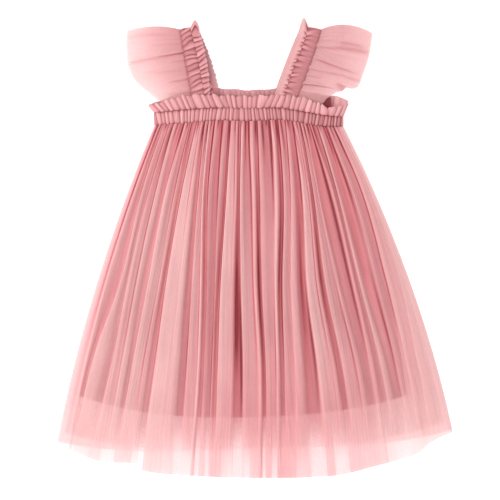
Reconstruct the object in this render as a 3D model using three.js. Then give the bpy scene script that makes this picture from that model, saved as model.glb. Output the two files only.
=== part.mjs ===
// A toddler's tulle party dress, laid on its back with its front up.
// X runs across the dress, Y from hem to shoulders and Z up from the surface. All sizes are in millimetres.
import * as THREE from "three";

// Colours: the net, the knit lining, and the two gathered together over elastic.
const TULLE = 0xe3a0a6;
const KNIT = 0xc97f88;
const BAND = 0xd48f97;

// Walls: one thickness of cloth, the doubled net of the front frill, the elastic casing, and the gap
// left between two pieces, a little wider where their seam is curved.
const CLOTH = 1.0;
const DOUBLED_NET = 1.3;
const CASING = 2.0;
const GAP = 0.3;
const STRIP_GAP = 0.5;

// The dress in plan. The skirt hangs a little to the right of the band.
const BAND_LEFT = -111;
const BAND_RIGHT = 97.3;
const WAIST_SHIFT = 0.5;
const FRILL_FLARE = 5;
const HEM_HALF_WIDTH = 218.6;
const SIDE_BULGE_LEFT = -10;
const SIDE_BULGE_RIGHT = 12;
const SHOULDER_Y = 243.6;

// Heights above the surface at the chest, where few layers lie on each other.
const BAND_FRONT_Z = 2.9;
const BAND_PUFF = 2.2;
const FRILL_FRONT_Z = 3.7;
const FRILL_OVER_STRAP = 2.7;
const FRILL_WAVE = 2.6;
const FRILL_BACK_WAVE = 0.8;
const SIDE_OPENING = [0.8, 0.93];
const SIDE_OPENING_LIFT = 4.5;
const STRAP_FRONT_Z = 4.7;
const STRAP_BACK_ROOT_Z = 2.6;
const STRAP_BACK_Z = 0.5;
const STRAP_SWELL = 1.3;
const STRAP_FRILL_SWELL = 2.4;

// Where a strap's foot lifts the frill in front of it, as X.
const STRAP_FEET = [
  { start: -112, full: -104, leave: -38, clear: -30 },
  { start: 6, full: 15, leave: 88, clear: 96 },
];

// Where straps and sleeves come down past the frills of the chest, as Y: on the front side, for the
// outer edge of a sleeve, and on the back side.
const FRONT_CLEARS = [171, 184];
const EDGE_SINKS = [172, 192];
const BACK_CLEARS = [178, 194];

// Gathers and waves: how many each piece has, and the columns of the flat back lining.
const BAND_GATHERS = 36;
const FRILL_WAVES = 34;
const FRILL_BACK_WAVES = 10;
const BAND_BACK_GATHERS = 8;
const LINING_WAVES = 5;
const LINING_COLUMNS = 17;
const UNDERSKIRT_WAVES = 12;
const SKIRT_BACK_RIDGES = 8;
const STRAP_GATHERS = 8;

// Height of the folds of the front skirt: just under the band, in its body, and at its hem.
const PLEAT_AT_BAND = 1.8;
const PLEAT_IN_BODY = 9.0;
const PLEAT_AT_HEM = 5.0;

// The chest, section by section across: lower and upper edge of the elastic band, and the free
// edges of the frill above it, in front and at the back, all as Y.
const CHEST = [
  { at: 0.0, low: 137.9, high: 151.0, front: 158.2, back: 159.0 },
  { at: 0.19, low: 140.5, high: 154.8, front: 169.6, back: 173.6 },
  { at: 0.34, low: 143.0, high: 156.4, front: 170.1, back: 177.2 },
  { at: 0.51, low: 142.3, high: 155.8, front: 169.1, back: 175.4 },
  { at: 0.66, low: 143.6, high: 156.4, front: 170.0, back: 177.0 },
  { at: 0.775, low: 140.5, high: 152.9, front: 167.2, back: 174.6 },
  { at: 0.87, low: 137.1, high: 149.2, front: 158.7, back: 170.2 },
  { at: 0.93, low: 136.5, high: 147.2, front: 156.4, back: 168.9 },
  { at: 1.0, low: 136.3, high: 146.3, front: 161.5, back: 164.2 },
];

// The hem of the front skirt, from its left corner to its right one.
const HEM = [
  { at: 0.0, y: -213.6 },
  { at: 0.076, y: -228.5 },
  { at: 0.12, y: -234.2 },
  { at: 0.198, y: -236.2 },
  { at: 0.216, y: -243.2 },
  { at: 0.3, y: -248.4 },
  { at: 0.489, y: -252.1 },
  { at: 0.7, y: -249.5 },
  { at: 0.795, y: -239.8 },
  { at: 0.906, y: -225.3 },
  { at: 0.946, y: -211.6 },
  { at: 1.0, y: -200.4 },
];

// The folds of the front skirt: crests and valleys by turns, from the left. Each has the line that
// it follows, in percent of the width at five PLACES down the skirt, and its level, as shares of the
// fold height at three LEVELS down it.
const PLACES = [0, 0.2, 0.45, 0.7, 1];
const LEVELS = [0, 0.45, 1];
const FOLDS = [
  { line: [3.0, 3.0, 3.0, 3.0, 3.0], level: [0.5, 0.4, 0.4] },
  { line: [4.4, 4.8, 6.4, 4.2, 3.7], level: [0.1, 0, 0.1] },
  { line: [5.3, 5.8, 7.4, 5.0, 4.4], level: [0.4, 0.6, 0.3] },
  { line: [7.0, 7.4, 8.8, 9.2, 8.0], level: [0.1, 0.2, 0.1] },
  { line: [8.2, 8.7, 9.6, 10.1, 8.9], level: [0.4, 0.7, 0.5] },
  { line: [9.3, 9.9, 11.0, 11.6, 11.0], level: [0.2, 0.45, 0.3] },
  { line: [10.5, 11.5, 12.3, 12.8, 12.4], level: [0.5, 0.5, 0.4] },
  { line: [13.2, 14.4, 14.7, 15.0, 14.4], level: [0, 0, 0.15] },
  { line: [16.4, 15.2, 16.1, 15.8, 15.3], level: [0.6, 0.65, 0.4] },
  { line: [18.0, 17.6, 18.0, 17.6, 17.3], level: [0, 0.4, 0.3] },
  { line: [19.3, 19.2, 19.6, 19.0, 18.6], level: [0.45, 0.5, 0.4] },
  { line: [21.4, 21.0, 21.0, 20.8, 20.3], level: [0.1, 0, 0.1] },
  { line: [22.8, 22.0, 21.9, 22.2, 21.6], level: [0.5, 0.85, 0.6] },
  { line: [23.8, 23.6, 24.0, 24.2, 24.0], level: [0.4, 0.72, 0.5] },
  { line: [24.8, 25.4, 26.3, 26.8, 26.4], level: [0.5, 0.78, 0.5] },
  { line: [26.0, 27.7, 28.9, 29.5, 29.3], level: [0, 0.1, 0.15] },
  { line: [27.1, 28.7, 30.3, 31.2, 31.4], level: [0.5, 0.6, 0.4] },
  { line: [28.0, 29.5, 31.6, 32.6, 32.5], level: [0.3, 0.5, 0.35] },
  { line: [29.0, 30.4, 33.0, 34.2, 33.7], level: [0.5, 0.8, 0.5] },
  { line: [30.4, 31.3, 33.8, 35.0, 34.6], level: [0, 0, 0.1] },
  { line: [32.4, 32.9, 35.3, 36.0, 35.8], level: [0.5, 0.4, 0.4] },
  { line: [34.8, 35.2, 36.8, 37.3, 37.3], level: [0, 0.15, 0.2] },
  { line: [36.4, 37.1, 37.8, 38.2, 38.3], level: [0.55, 0.3, 0.3] },
  { line: [39.2, 39.3, 38.8, 39.0, 39.2], level: [0, 0, 0.1] },
  { line: [40.7, 40.3, 39.7, 39.9, 40.2], level: [0.5, 0.85, 0.6] },
  { line: [42.0, 42.0, 41.5, 41.6, 41.6], level: [0.4, 0.65, 0.45] },
  { line: [43.2, 43.7, 43.2, 43.4, 43.2], level: [0.55, 0.75, 0.5] },
  { line: [44.6, 44.7, 44.5, 44.7, 44.7], level: [0.3, 0, 0.1] },
  { line: [46.2, 45.8, 46.4, 47.2, 47.0], level: [0.6, 0.6, 0.4] },
  { line: [48.0, 47.4, 48.2, 48.8, 48.8], level: [0, 0.5, 0.3] },
  { line: [50.2, 51.1, 50.8, 51.7, 51.0], level: [0.6, 0.95, 0.6] },
  { line: [53.2, 52.6, 51.9, 52.6, 52.0], level: [0.1, 0, 0.1] },
  { line: [54.8, 53.9, 53.2, 53.6, 52.9], level: [0.5, 0.8, 0.5] },
  { line: [56.9, 56.4, 55.3, 55.2, 54.4], level: [0.15, 0.55, 0.35] },
  { line: [62.0, 60.2, 57.6, 56.6, 55.7], level: [0.6, 0.85, 0.5] },
  { line: [63.6, 62.0, 58.6, 57.7, 56.9], level: [0, 0, 0.2] },
  { line: [65.8, 63.6, 60.0, 58.9, 58.2], level: [0.5, 0.7, 0.4] },
  { line: [67.4, 65.0, 61.4, 60.3, 59.3], level: [0.35, 0.5, 0.35] },
  { line: [69.6, 66.5, 62.9, 61.9, 60.5], level: [0.5, 0.85, 0.6] },
  { line: [71.2, 68.9, 65.8, 65.2, 64.5], level: [0.1, 0, 0.1] },
  { line: [73.4, 71.2, 67.9, 68.4, 68.4], level: [0.6, 0.9, 0.5] },
  { line: [74.4, 72.4, 69.6, 70.4, 70.6], level: [0.4, 0.6, 0.35] },
  { line: [75.4, 73.6, 71.2, 72.4, 72.8], level: [0.5, 0.7, 0.4] },
  { line: [76.4, 74.6, 72.3, 73.6, 74.2], level: [0.2, 0, 0.25] },
  { line: [77.3, 75.6, 73.8, 75.2, 75.8], level: [0.5, 0.6, 0.4] },
  { line: [78.2, 76.4, 75.5, 77.0, 77.4], level: [0.4, 0.45, 0.3] },
  { line: [79.2, 77.2, 77.4, 79.0, 79.2], level: [0.5, 0.5, 0.3] },
  { line: [80.4, 78.4, 78.8, 80.4, 80.6], level: [0, 0.1, 0.2] },
  { line: [82.4, 83.2, 82.7, 82.9, 82.5], level: [0.6, 0.65, 0.4] },
  { line: [84.2, 84.2, 83.6, 84.0, 83.7], level: [0.1, 0.2, 0.2] },
  { line: [86.4, 85.4, 84.7, 85.6, 85.6], level: [0.5, 0.55, 0.3] },
  { line: [88.4, 86.9, 86.3, 87.6, 87.6], level: [0, 0, 0.2] },
  { line: [91.0, 91.5, 90.0, 89.8, 89.4], level: [0.45, 0.4, 0.3] },
  { line: [93.0, 93.2, 91.6, 91.1, 90.7], level: [0.2, 0.25, 0.2] },
  { line: [95.2, 95.5, 93.4, 92.6, 92.0], level: [0.5, 0.6, 0.4] },
  { line: [96.8, 97.0, 95.4, 93.9, 93.3], level: [0.2, 0.3, 0.1] },
  { line: [98.2, 98.4, 97.6, 95.6, 94.8], level: [0.3, 0.3, 0.4] },
  { line: [99.2, 99.3, 98.8, 98.0, 97.4], level: [0.1, 0.1, 0.1] },
];

// The layers under the front skirt, from the surface up, in shares of the skirt's width and length:
// where each one ends at the left side, at the right side by the band and by the hem, and at its
// hem in the middle and at the sides. lift is how high its folds stand.
const SKIRT_BACK = { lift: 1.5, left: 0, bandRight: 1, hemRight: 1, hem: 0.92, sideHem: 0.995 };
const LINING_BACK = { lift: 0.3, left: 0.03, bandRight: 0.97, hemRight: 0.895, hem: 0.81, sideHem: 0.81 };
const LINING_FRONT = { lift: 1.2, left: 0.03, bandRight: 0.97, hemRight: 0.895, hem: 0.83, sideHem: 0.835 };
const UNDERSKIRT = { lift: 3.0, left: 0.015, bandRight: 0.985, hemRight: 0.985, hem: 0.92, sideHem: 0.96 };

// The hem the layers are measured on: its lowest point, how far it rises to the sides, and how much
// higher it is at the right. Then where the front starts to sink past the lining's hem, how far
// past the back skirt's and past a layer's right side it has sunk, the least length of its last
// row, where folds reach their full height, how much of it is left at the hem, and how wide a strip
// at a layer's sides its waves sink in.
const HEM_LOW = -251;
const HEM_RISE = 44;
const HEM_TILT = 6.6;
const LINING_END = 0.845;
const END_MARGIN = 0.005;
const END_FADE = 0.075;
const SIDE_FADE = 0.6;
const LAST_STEP = 0.006;
const FULL_FOLDS = 0.17;
const SETTLED = 0.4;
const SIDE_TAPER = 0.05;

// The straps, section by section from the band to the shoulder: X of the seam that holds the
// sleeve, of the seam that holds the neck frill, and of that frill's free edge.
const STRAP_LEFT = {
  sections: [
    { at: 0.0, sleeve: -67.9, neck: -53.6, frill: -48.1 },
    { at: 0.2, sleeve: -70.7, neck: -56.2, frill: -49.2 },
    { at: 0.42, sleeve: -73.9, neck: -59.8, frill: -50.6 },
    { at: 0.7, sleeve: -78.2, neck: -64.6, frill: -54.7 },
    { at: 1.0, sleeve: -82.5, neck: -71.2, frill: -61.8 },
  ],
  backShift: 13,
};
const STRAP_RIGHT = {
  sections: [
    { at: 0.0, sleeve: 42.1, neck: 27.8, frill: 16.8 },
    { at: 0.2, sleeve: 48.7, neck: 33.8, frill: 22.8 },
    { at: 0.5, sleeve: 58.4, neck: 42.8, frill: 31.9 },
    { at: 0.81, sleeve: 68.0, neck: 53.8, frill: 42.1 },
    { at: 1.0, sleeve: 72.9, neck: 59.3, frill: 49.3 },
  ],
  backShift: -1.0,
};
const FRILL_TIP = 6.1;
const FRILL_TIP_START = 0.88;

// The flutter sleeves: their free edge from the armhole to the shoulder, and where their folds run,
// as shares of the way from armhole to shoulder, at the seam and at the free edge.
const SLEEVE_LEFT = {
  edge: [
    { at: 0.0, x: -93.2, y: 158.8 },
    { at: 0.15, x: -106.4, y: 164.6 },
    { at: 0.3, x: -119.6, y: 173.9 },
    { at: 0.45, x: -131.1, y: 185.2 },
    { at: 0.6, x: -137.7, y: 199.2 },
    { at: 0.8, x: -140.6, y: 219.6 },
    { at: 1.0, x: -140.2, y: 240.6 },
  ],
  top: 2.4,
  folds: [
    { seam: 0.08, edge: 0.12 },
    { seam: 0.2, edge: 0.26 },
    { seam: 0.33, edge: 0.38 },
    { seam: 0.47, edge: 0.5 },
    { seam: 0.6, edge: 0.64 },
    { seam: 0.76, edge: 0.78 },
    { seam: 0.9, edge: 0.9 },
  ],
};
const SLEEVE_RIGHT = {
  edge: [
    { at: 0.0, x: 74.0, y: 159.8 },
    { at: 0.13, x: 80.6, y: 167.6 },
    { at: 0.26, x: 90.4, y: 173.6 },
    { at: 0.4, x: 103.7, y: 177.4 },
    { at: 0.52, x: 113.6, y: 179.6 },
    { at: 0.68, x: 119.8, y: 194.4 },
    { at: 0.84, x: 125.8, y: 212.6 },
    { at: 1.0, x: 130.1, y: 237.8 },
  ],
  top: 5.4,
  folds: [
    { seam: 0.07, edge: 0.1 },
    { seam: 0.2, edge: 0.26 },
    { seam: 0.34, edge: 0.4 },
    { seam: 0.48, edge: 0.54 },
    { seam: 0.62, edge: 0.66 },
    { seam: 0.77, edge: 0.78 },
    { seam: 0.9, edge: 0.9 },
  ],
};
const SLEEVE_START = 0.13;
const SLEEVE_BOW_START = 0.75;
const SLEEVE_HELD = 0.93;
const SLEEVE_GATHER = 0.4;
const SLEEVE_WAVE = 4.2;
const SLEEVE_SINK = 1.3;

const mix = (a, b, t) => a + (b - a) * t;
const clamp = (x, low, high) => Math.min(high, Math.max(low, x));
const ease = (from, to, x) => {
  const t = clamp((x - from) / (to - from), 0, 1);
  return t * t * (3 - 2 * t);
};

// A smooth curve through values at the given places, read at t.
function through(places, values, t) {
  const last = places.length - 1;
  let k = 0;
  while (k < last - 1 && t > places[k + 1]) k++;
  const slope = (i) => {
    const before = Math.max(i - 1, 0);
    const after = Math.min(i + 1, last);
    return (values[after] - values[before]) / (places[after] - places[before]);
  };
  const span = places[k + 1] - places[k];
  const s = clamp((t - places[k]) / span, 0, 1);
  const rise = s * s * (3 - 2 * s);
  const start = s * (1 - s) * (1 - s) * span * slope(k);
  const end = s * s * (s - 1) * span * slope(k + 1);
  return mix(values[k], values[k + 1], rise) + start + end;
}

// One column of a table of sections, read at t.
const read = (table, column, t) => {
  const places = table.map((row) => row.at);
  const values = table.map((row) => row[column]);
  return through(places, values, t);
};

// A closed wall of cloth. middle(i, j) gives the points of its middle surface, which are moved half
// the thickness each way: along the surface's normal, or straight up and down for an upright one.
// The lower side of one that rests lies flat on the surface.
function wall(name, colour, columns, rows, middle, { thick = CLOTH, upright = false, rests = false } = {}) {
  const points = [];
  for (let j = 0; j < rows; j++) {
    for (let i = 0; i < columns; i++) points.push(middle(i, j));
  }
  const at = (i, j) => points[clamp(j, 0, rows - 1) * columns + clamp(i, 0, columns - 1)];
  const normal = (i, j) => {
    const across = at(i + 1, j).clone().sub(at(i - 1, j));
    const along = at(i, j + 1).clone().sub(at(i, j - 1));
    const n = across.cross(along).normalize();
    return upright ? new THREE.Vector3(0, 0, Math.sign(n.z)) : n;
  };
  const positions = [];
  for (const side of [0.5, -0.5]) {
    for (let j = 0; j < rows; j++) {
      for (let i = 0; i < columns; i++) {
        const n = normal(i, j);
        const p = at(i, j).clone().addScaledVector(n, side * thick);
        if (rests && n.z * side < 0) p.z = 0;
        positions.push(p.x, p.y, p.z);
      }
    }
  }
  const faces = [];
  const quad = (a, b, c, d) => faces.push(a, b, c, a, c, d);
  const over = (i, j) => j * columns + i;
  const under = (i, j) => columns * rows + j * columns + i;
  for (let j = 0; j < rows - 1; j++) {
    for (let i = 0; i < columns - 1; i++) {
      quad(over(i, j), over(i + 1, j), over(i + 1, j + 1), over(i, j + 1));
      quad(under(i, j), under(i, j + 1), under(i + 1, j + 1), under(i + 1, j));
    }
  }
  for (let i = 0; i < columns - 1; i++) {
    quad(over(i + 1, 0), over(i, 0), under(i, 0), under(i + 1, 0));
    quad(over(i, rows - 1), over(i + 1, rows - 1), under(i + 1, rows - 1), under(i, rows - 1));
  }
  for (let j = 0; j < rows - 1; j++) {
    quad(over(0, j), over(0, j + 1), under(0, j + 1), under(0, j));
    quad(over(columns - 1, j + 1), over(columns - 1, j), under(columns - 1, j), under(columns - 1, j + 1));
  }
  const geometry = new THREE.BufferGeometry();
  geometry.setAttribute("position", new THREE.Float32BufferAttribute(positions, 3));
  geometry.setIndex(faces);
  geometry.computeVertexNormals();
  const material = new THREE.MeshStandardMaterial({ color: colour, roughness: 0.85, metalness: 0 });
  const mesh = new THREE.Mesh(geometry, material);
  mesh.name = name;
  return mesh;
}

// A zigzag from 0 to 1 and back, whose teeth differ a little in height.
const zigzag = (index, unevenness) => (index % 2) * (1 - unevenness * (0.5 + 0.5 * Math.sin(index * 2.4)));

// A soft wave from 0 to 1 and back, starting at 0.
const wave = (turns) => 0.5 - 0.5 * Math.cos(2 * Math.PI * turns);

// The skirt in plan: u runs from its left side to its right one, v from the band to the hem.
const hemLine = (u) => HEM_LOW + HEM_RISE * Math.abs(2 * u - 1) ** 2.5 + HEM_TILT * (2 * u - 1);
const waistLine = (u) => read(CHEST, "low", u) - GAP;

function skirtPlan(u, v) {
  const topX = mix(BAND_LEFT, BAND_RIGHT, u) + WAIST_SHIFT;
  const hemX = mix(-HEM_HALF_WIDTH, HEM_HALF_WIDTH, u);
  const bulge = mix(SIDE_BULGE_LEFT, SIDE_BULGE_RIGHT, u) * 4 * v * (1 - v);
  return [mix(topX, hemX, v) + bulge, mix(waistLine(u), hemLine(u), v)];
}

const hemOf = (layer, u) => mix(layer.hem, layer.sideHem, (2 * u - 1) ** 2);
const backEnd = (u) => hemOf(SKIRT_BACK, u) + END_MARGIN;

// Where what lies over the linings sinks: 1 above their hem and 0 below the hem of the back skirt.
const aboveHems = (u, v) => clamp((backEnd(u) - v) / (backEnd(u) - LINING_END), 0, 1);

// Folds stand low where they are held at the band and where they settle near the hem.
const puff = (u, v) => clamp(v / FULL_FOLDS, 0, 1) * mix(SETTLED, 1, aboveHems(u, v));

const rightOf = (layer, v) => mix(layer.bandRight, layer.hemRight, v);

// How far a layer carries what lies on it: 1 on the layer, and sinking to 0 outside it.
function cover(layer, u, v) {
  const left = layer.left ? clamp(u / layer.left, 0, 1) : 1;
  const right = rightOf(layer, v);
  const rightSide = right < 1 ? clamp((1 - u) / (SIDE_FADE * (1 - right)), 0, 1) : 1;
  const hem = layer.hem < LINING_END ? aboveHems(u, v) : 1 - (v - backEnd(u)) / END_FADE;
  return Math.min(left, rightSide, clamp(hem, 0, 1));
}

// The height at which a layer starts, on top of those under it.
function pile(layers, u, v) {
  return layers.reduce((z, layer) => z + cover(layer, u, v) * (CLOTH + GAP + layer.lift * puff(u, v)), 0);
}

// A panel of a layer: shares are its columns in parts of its own width, and rows in parts of the
// skirt's length, the last one at its hem.
function panel(name, colour, layer, below, shares, rows, form, options) {
  const middle = (i, j) => {
    const atHem = mix(layer.left, layer.hemRight, shares[i]);
    const v = j < rows.length ? rows[j] : hemOf(layer, atHem);
    const u = mix(layer.left, rightOf(layer, v), shares[i]);
    const [x, y] = skirtPlan(u, v);
    const taper = ease(0, SIDE_TAPER, shares[i]) * ease(1, 1 - SIDE_TAPER, shares[i]);
    const z = pile(below, u, v) + CLOTH / 2 + layer.lift * puff(u, v) * taper * form(i, v);
    return new THREE.Vector3(x, y, z);
  };
  return wall(name, colour, shares.length, rows.length + 1, middle, { upright: true, ...options });
}

const evenly = (count) => Array.from({ length: count }, (_, i) => i / (count - 1));
const UPPER_ROWS = [0, 0.08, 0.17, 0.34, 0.51, 0.68];

// The back of the skirt lies on the surface, flat between low ridges.
const RIDGE_PARTS = [0.22, 0.5, 0.78];

function skirtBack() {
  const shares = [0];
  for (let k = 0; k < SKIRT_BACK_RIDGES; k++) {
    for (const part of RIDGE_PARTS) shares.push((k + part) / SKIRT_BACK_RIDGES);
  }
  shares.push(1);
  const ridge = (i) => (i % 3 === 2 ? 1 : 0);
  const rows = [...UPPER_ROWS, LINING_END];
  return panel("skirt_back", TULLE, SKIRT_BACK, [], shares, rows, ridge, { rests: true });
}

function liningBack() {
  const flat = () => 0;
  return panel("lining_back", KNIT, LINING_BACK, [SKIRT_BACK], evenly(LINING_COLUMNS), UPPER_ROWS, flat);
}

function liningFront() {
  const shares = evenly(4 * LINING_WAVES + 1);
  const form = (i) => wave(i / 4);
  return panel("lining_front", KNIT, LINING_FRONT, [SKIRT_BACK, LINING_BACK], shares, UPPER_ROWS, form);
}

// Its first inner column runs where the lining's edge stops lifting it.
function underskirtFront() {
  const edge = (LINING_FRONT.left - UNDERSKIRT.left) / (UNDERSKIRT.bandRight - UNDERSKIRT.left);
  const shares = [0, edge, ...evenly(4 * UNDERSKIRT_WAVES + 1).slice(2)];
  const form = (i, v) => wave(i / 4) * (0.7 + 0.3 * Math.sin(0.11 * i + 3 * v));
  const below = [SKIRT_BACK, LINING_BACK, LINING_FRONT];
  return panel("underskirt_front", TULLE, UNDERSKIRT, below, shares, [...UPPER_ROWS, LINING_END], form);
}

// The front of the skirt, with its folds. Its columns follow the crests, the valleys and the
// flanks between them; its last two rows lie at the hem of the back skirt and at its own.
const LEFT_SIDE = { line: [0, 0, 0, 0, 0], level: [0, 0, 0] };
const RIGHT_SIDE = { line: [100, 100, 100, 100, 100], level: [0, 0, 0] };
const FRONT_ROWS = [0, 0.08, 0.17, 0.28, 0.4, 0.52, 0.64, 0.75, LINING_END];

function skirtFront() {
  const below = [SKIRT_BACK, LINING_BACK, LINING_FRONT, UNDERSKIRT];
  const knots = [LEFT_SIDE, ...FOLDS, RIGHT_SIDE];
  const height = (v) => through(LEVELS, [PLEAT_AT_BAND, PLEAT_IN_BODY, PLEAT_AT_HEM], v);
  const middle = (i, j) => {
    const before = knots[Math.floor(i / 2)];
    const after = knots[Math.ceil(i / 2)];
    const across = (v) => mix(through(PLACES, before.line, v), through(PLACES, after.line, v), 0.5) / 100;
    const atHem = across(1);
    const hem = (waistLine(atHem) - read(HEM, "y", atHem)) / (waistLine(atHem) - hemLine(atHem));
    const rows = [...FRONT_ROWS, Math.min(backEnd(atHem), hem - LAST_STEP), hem];
    const v = rows[j];
    const u = across(v);
    const level = mix(through(LEVELS, before.level, v), through(LEVELS, after.level, v), 0.5);
    const [x, y] = skirtPlan(u, v);
    return new THREE.Vector3(x, y, pile(below, u, v) + CLOTH / 2 + height(v) * level);
  };
  return wall("skirt_front", TULLE, 2 * knots.length - 1, FRONT_ROWS.length + 2, middle);
}

const bandX = (q) => mix(BAND_LEFT, BAND_RIGHT, q);

// The chest stands open at its right end, where the front lifts off the back.
const openEnd = (q) => ease(...SIDE_OPENING, q);

// The elastic band: gathered cloth round an elastic, puffed between its two rows of stitching.
function bandFront() {
  const columns = 2 * BAND_GATHERS + 1;
  const puffed = [0.4, 1, 0.4];
  const middle = (i, j) => {
    const q = i / (columns - 1);
    const y = mix(read(CHEST, "low", q), read(CHEST, "high", q), j / 2);
    const lift = 0.5 * SIDE_OPENING_LIFT * openEnd(q);
    const z = BAND_FRONT_Z + CASING / 2 + lift + BAND_PUFF * puffed[j] * (0.25 + 0.75 * zigzag(i, 0.5));
    return new THREE.Vector3(bandX(q), y, z);
  };
  return wall("band_front", BAND, columns, 3, middle, { thick: CASING, upright: true });
}

function bandBack() {
  const columns = 2 * BAND_BACK_GATHERS + 1;
  const middle = (i, j) => {
    const q = i / (columns - 1);
    const y = mix(read(CHEST, "low", q), read(CHEST, "high", q), j);
    return new THREE.Vector3(bandX(q), y, CASING / 2 + 0.5 * zigzag(i, 0.3));
  };
  return wall("band_back", BAND, columns, 2, middle, { thick: CASING, upright: true, rests: true });
}

// How much of a strap lies under the front frill at x, so that the frill rises over it.
function overStrap(x) {
  const under = (foot) => ease(foot.start, foot.full, x) * ease(foot.clear, foot.leave, x);
  return STRAP_FEET.reduce((sum, foot) => sum + under(foot), 0);
}

// The frill that stands above the band, free at its upper edge.
function frillFront() {
  const columns = 4 * FRILL_WAVES + 1;
  const middle = (i, j) => {
    const q = i / (columns - 1);
    const foot = read(CHEST, "high", q) + GAP;
    const scallop = 0.7 * Math.sin(i * 1.1);
    const x = bandX(q) + j * FRILL_FLARE * (2 * q - 1);
    const y = mix(foot, read(CHEST, "front", q) + scallop, j);
    const opening = SIDE_OPENING_LIFT * openEnd(q) * mix(0.5, 1, j);
    const base = FRILL_FRONT_Z + FRILL_OVER_STRAP * overStrap(x) + opening;
    const height = FRILL_WAVE * mix(0.35, 1, j) * (0.75 + 0.25 * Math.sin(i * 0.7));
    return new THREE.Vector3(x, y, base + height * wave(i / 4));
  };
  return wall("frill_front", TULLE, columns, 2, middle, { thick: DOUBLED_NET, upright: true });
}

function frillBack() {
  const columns = 2 * FRILL_BACK_WAVES + 1;
  const middle = (i, j) => {
    const q = i / (columns - 1);
    const foot = read(CHEST, "high", q) + GAP;
    const x = bandX(q) + j * FRILL_FLARE * (2 * q - 1);
    const y = mix(foot, read(CHEST, "back", q), j);
    return new THREE.Vector3(x, y, CLOTH / 2 + j * FRILL_BACK_WAVE * zigzag(i, 0.4));
  };
  return wall("frill_back", TULLE, columns, 2, middle, { upright: true, rests: true });
}

// Straps and sleeves go over the shoulder: up the front, round a fold and down the back, which is
// plain. leaf says where step j is: how far up from the band, and round the fold from 0 to 1.
const FOLD_STEPS = 4;
const BACK_STEPS = 5;
const leafRows = (steps) => steps + FOLD_STEPS + BACK_STEPS + 1;
function leaf(j, steps) {
  if (j <= steps) return { up: j / steps, round: 0 };
  if (j < steps + FOLD_STEPS) return { up: 1, round: (j - steps) / FOLD_STEPS };
  return { up: (steps + FOLD_STEPS + BACK_STEPS - j) / BACK_STEPS, round: 1 };
}

// The heights of the two layers of a strap at y: the back one comes down to the surface once it is
// clear of the frill behind the chest.
const backZ = (y) => mix(STRAP_BACK_ROOT_Z, STRAP_BACK_Z, ease(...BACK_CLEARS, y));
const clearOfChest = (y) => ease(...FRONT_CLEARS, y);

// Straps and sleeves start just above the elastic band.
const rootOf = (x) => read(CHEST, "high", clamp((x - BAND_LEFT) / (BAND_RIGHT - BAND_LEFT), 0, 1)) + GAP;

// A point on a strap, sleeve or strap frill, put round the shoulder fold.
function overShoulder(x, y, round, front, back) {
  const turn = Math.PI * round;
  const radius = (front - back) / 2;
  const z = (front + back) / 2 + radius * Math.cos(turn);
  return new THREE.Vector3(x, y + radius * Math.sin(turn), z);
}

// A strip along a strap: edges gives X of its two edges at a share of the way up, and heights how
// far its gathers stand out at each of them.
function strapStrip(name, colour, strap, edges, heights, tip = 0) {
  const steps = 2 * STRAP_GATHERS;
  const columns = 3;
  const middle = (i, j) => {
    const { up, round } = leaf(j, steps);
    const share = i / (columns - 1);
    const [from, to] = edges(up);
    const behind = round === 1 ? strap.backShift * (1 - up) : 0;
    const x = mix(from, to, share) + behind;
    const peak = tip * (1 - Math.abs(2 * share - 1)) * ease(FRILL_TIP_START, 1, up);
    const y = mix(rootOf(x), SHOULDER_Y, up) + peak;
    const swell = round ? 0 : mix(...heights, share) * clearOfChest(y) * zigzag(j, 0.4);
    return overShoulder(x, y, round, STRAP_FRONT_Z + swell, backZ(y));
  };
  return wall(name, colour, columns, leafRows(steps), middle);
}

function strapPieces(side, strap, sleeve, outward) {
  const seam = (up) => read(strap.sections, "sleeve", up);
  const neck = (up) => read(strap.sections, "neck", up);
  const frill = (up) => read(strap.sections, "frill", up);
  const band = (up) => [seam(up), neck(up)];
  const ruffle = (up) => [neck(up) - outward * STRIP_GAP, frill(up)];
  return [
    strapStrip(`strap_${side}`, BAND, strap, band, [STRAP_SWELL, STRAP_SWELL]),
    strapStrip(`strap_frill_${side}`, TULLE, strap, ruffle, [STRAP_SWELL, STRAP_FRILL_SWELL], FRILL_TIP),
    flutter(`sleeve_${side}`, strap, sleeve, outward),
  ];
}

// A flutter sleeve: one gathered piece, folded over the shoulder, free at its outer edge.
function flutter(name, strap, sleeve, outward) {
  const steps = 4 * sleeve.folds.length;
  const columns = 4;
  const middle = (i, j) => {
    const { up, round } = leaf(j, steps);
    const share = i / (columns - 1);
    const lift = mix(SLEEVE_START, 1, up);
    const behind = round === 1 ? strap.backShift * (1 - lift) : 0;
    const seamX = read(strap.sections, "sleeve", lift) + outward * STRIP_GAP + behind;
    const bow = sleeve.top * 4 * share * (1 - share) * ease(SLEEVE_BOW_START, 1, up);
    const x = mix(seamX, read(sleeve.edge, "x", up), share);
    const y = mix(mix(rootOf(seamX), SHOULDER_Y, lift), read(sleeve.edge, "y", up), share) + bow;
    const marks = sleeve.folds.map((fold) => Math.abs(mix(fold.seam, fold.edge, share) - up));
    const crest = ease(0.5 / sleeve.folds.length, 0, Math.min(...marks));
    const free = clearOfChest(y) * ease(1, SLEEVE_HELD, up);
    const swell = round ? 0 : mix(SLEEVE_GATHER, SLEEVE_WAVE, share) * free * crest;
    const sink = SLEEVE_SINK * share * ease(...EDGE_SINKS, y);
    return overShoulder(x, y, round, STRAP_FRONT_Z - sink + swell, backZ(y));
  };
  return wall(name, TULLE, columns, leafRows(steps), middle);
}

const dress = new THREE.Group();
dress.add(skirtBack(), liningBack(), liningFront(), underskirtFront(), skirtFront());
dress.add(bandBack(), bandFront(), frillBack(), frillFront());
dress.add(...strapPieces("left", STRAP_LEFT, SLEEVE_LEFT, -1));
dress.add(...strapPieces("right", STRAP_RIGHT, SLEEVE_RIGHT, 1));

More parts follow.
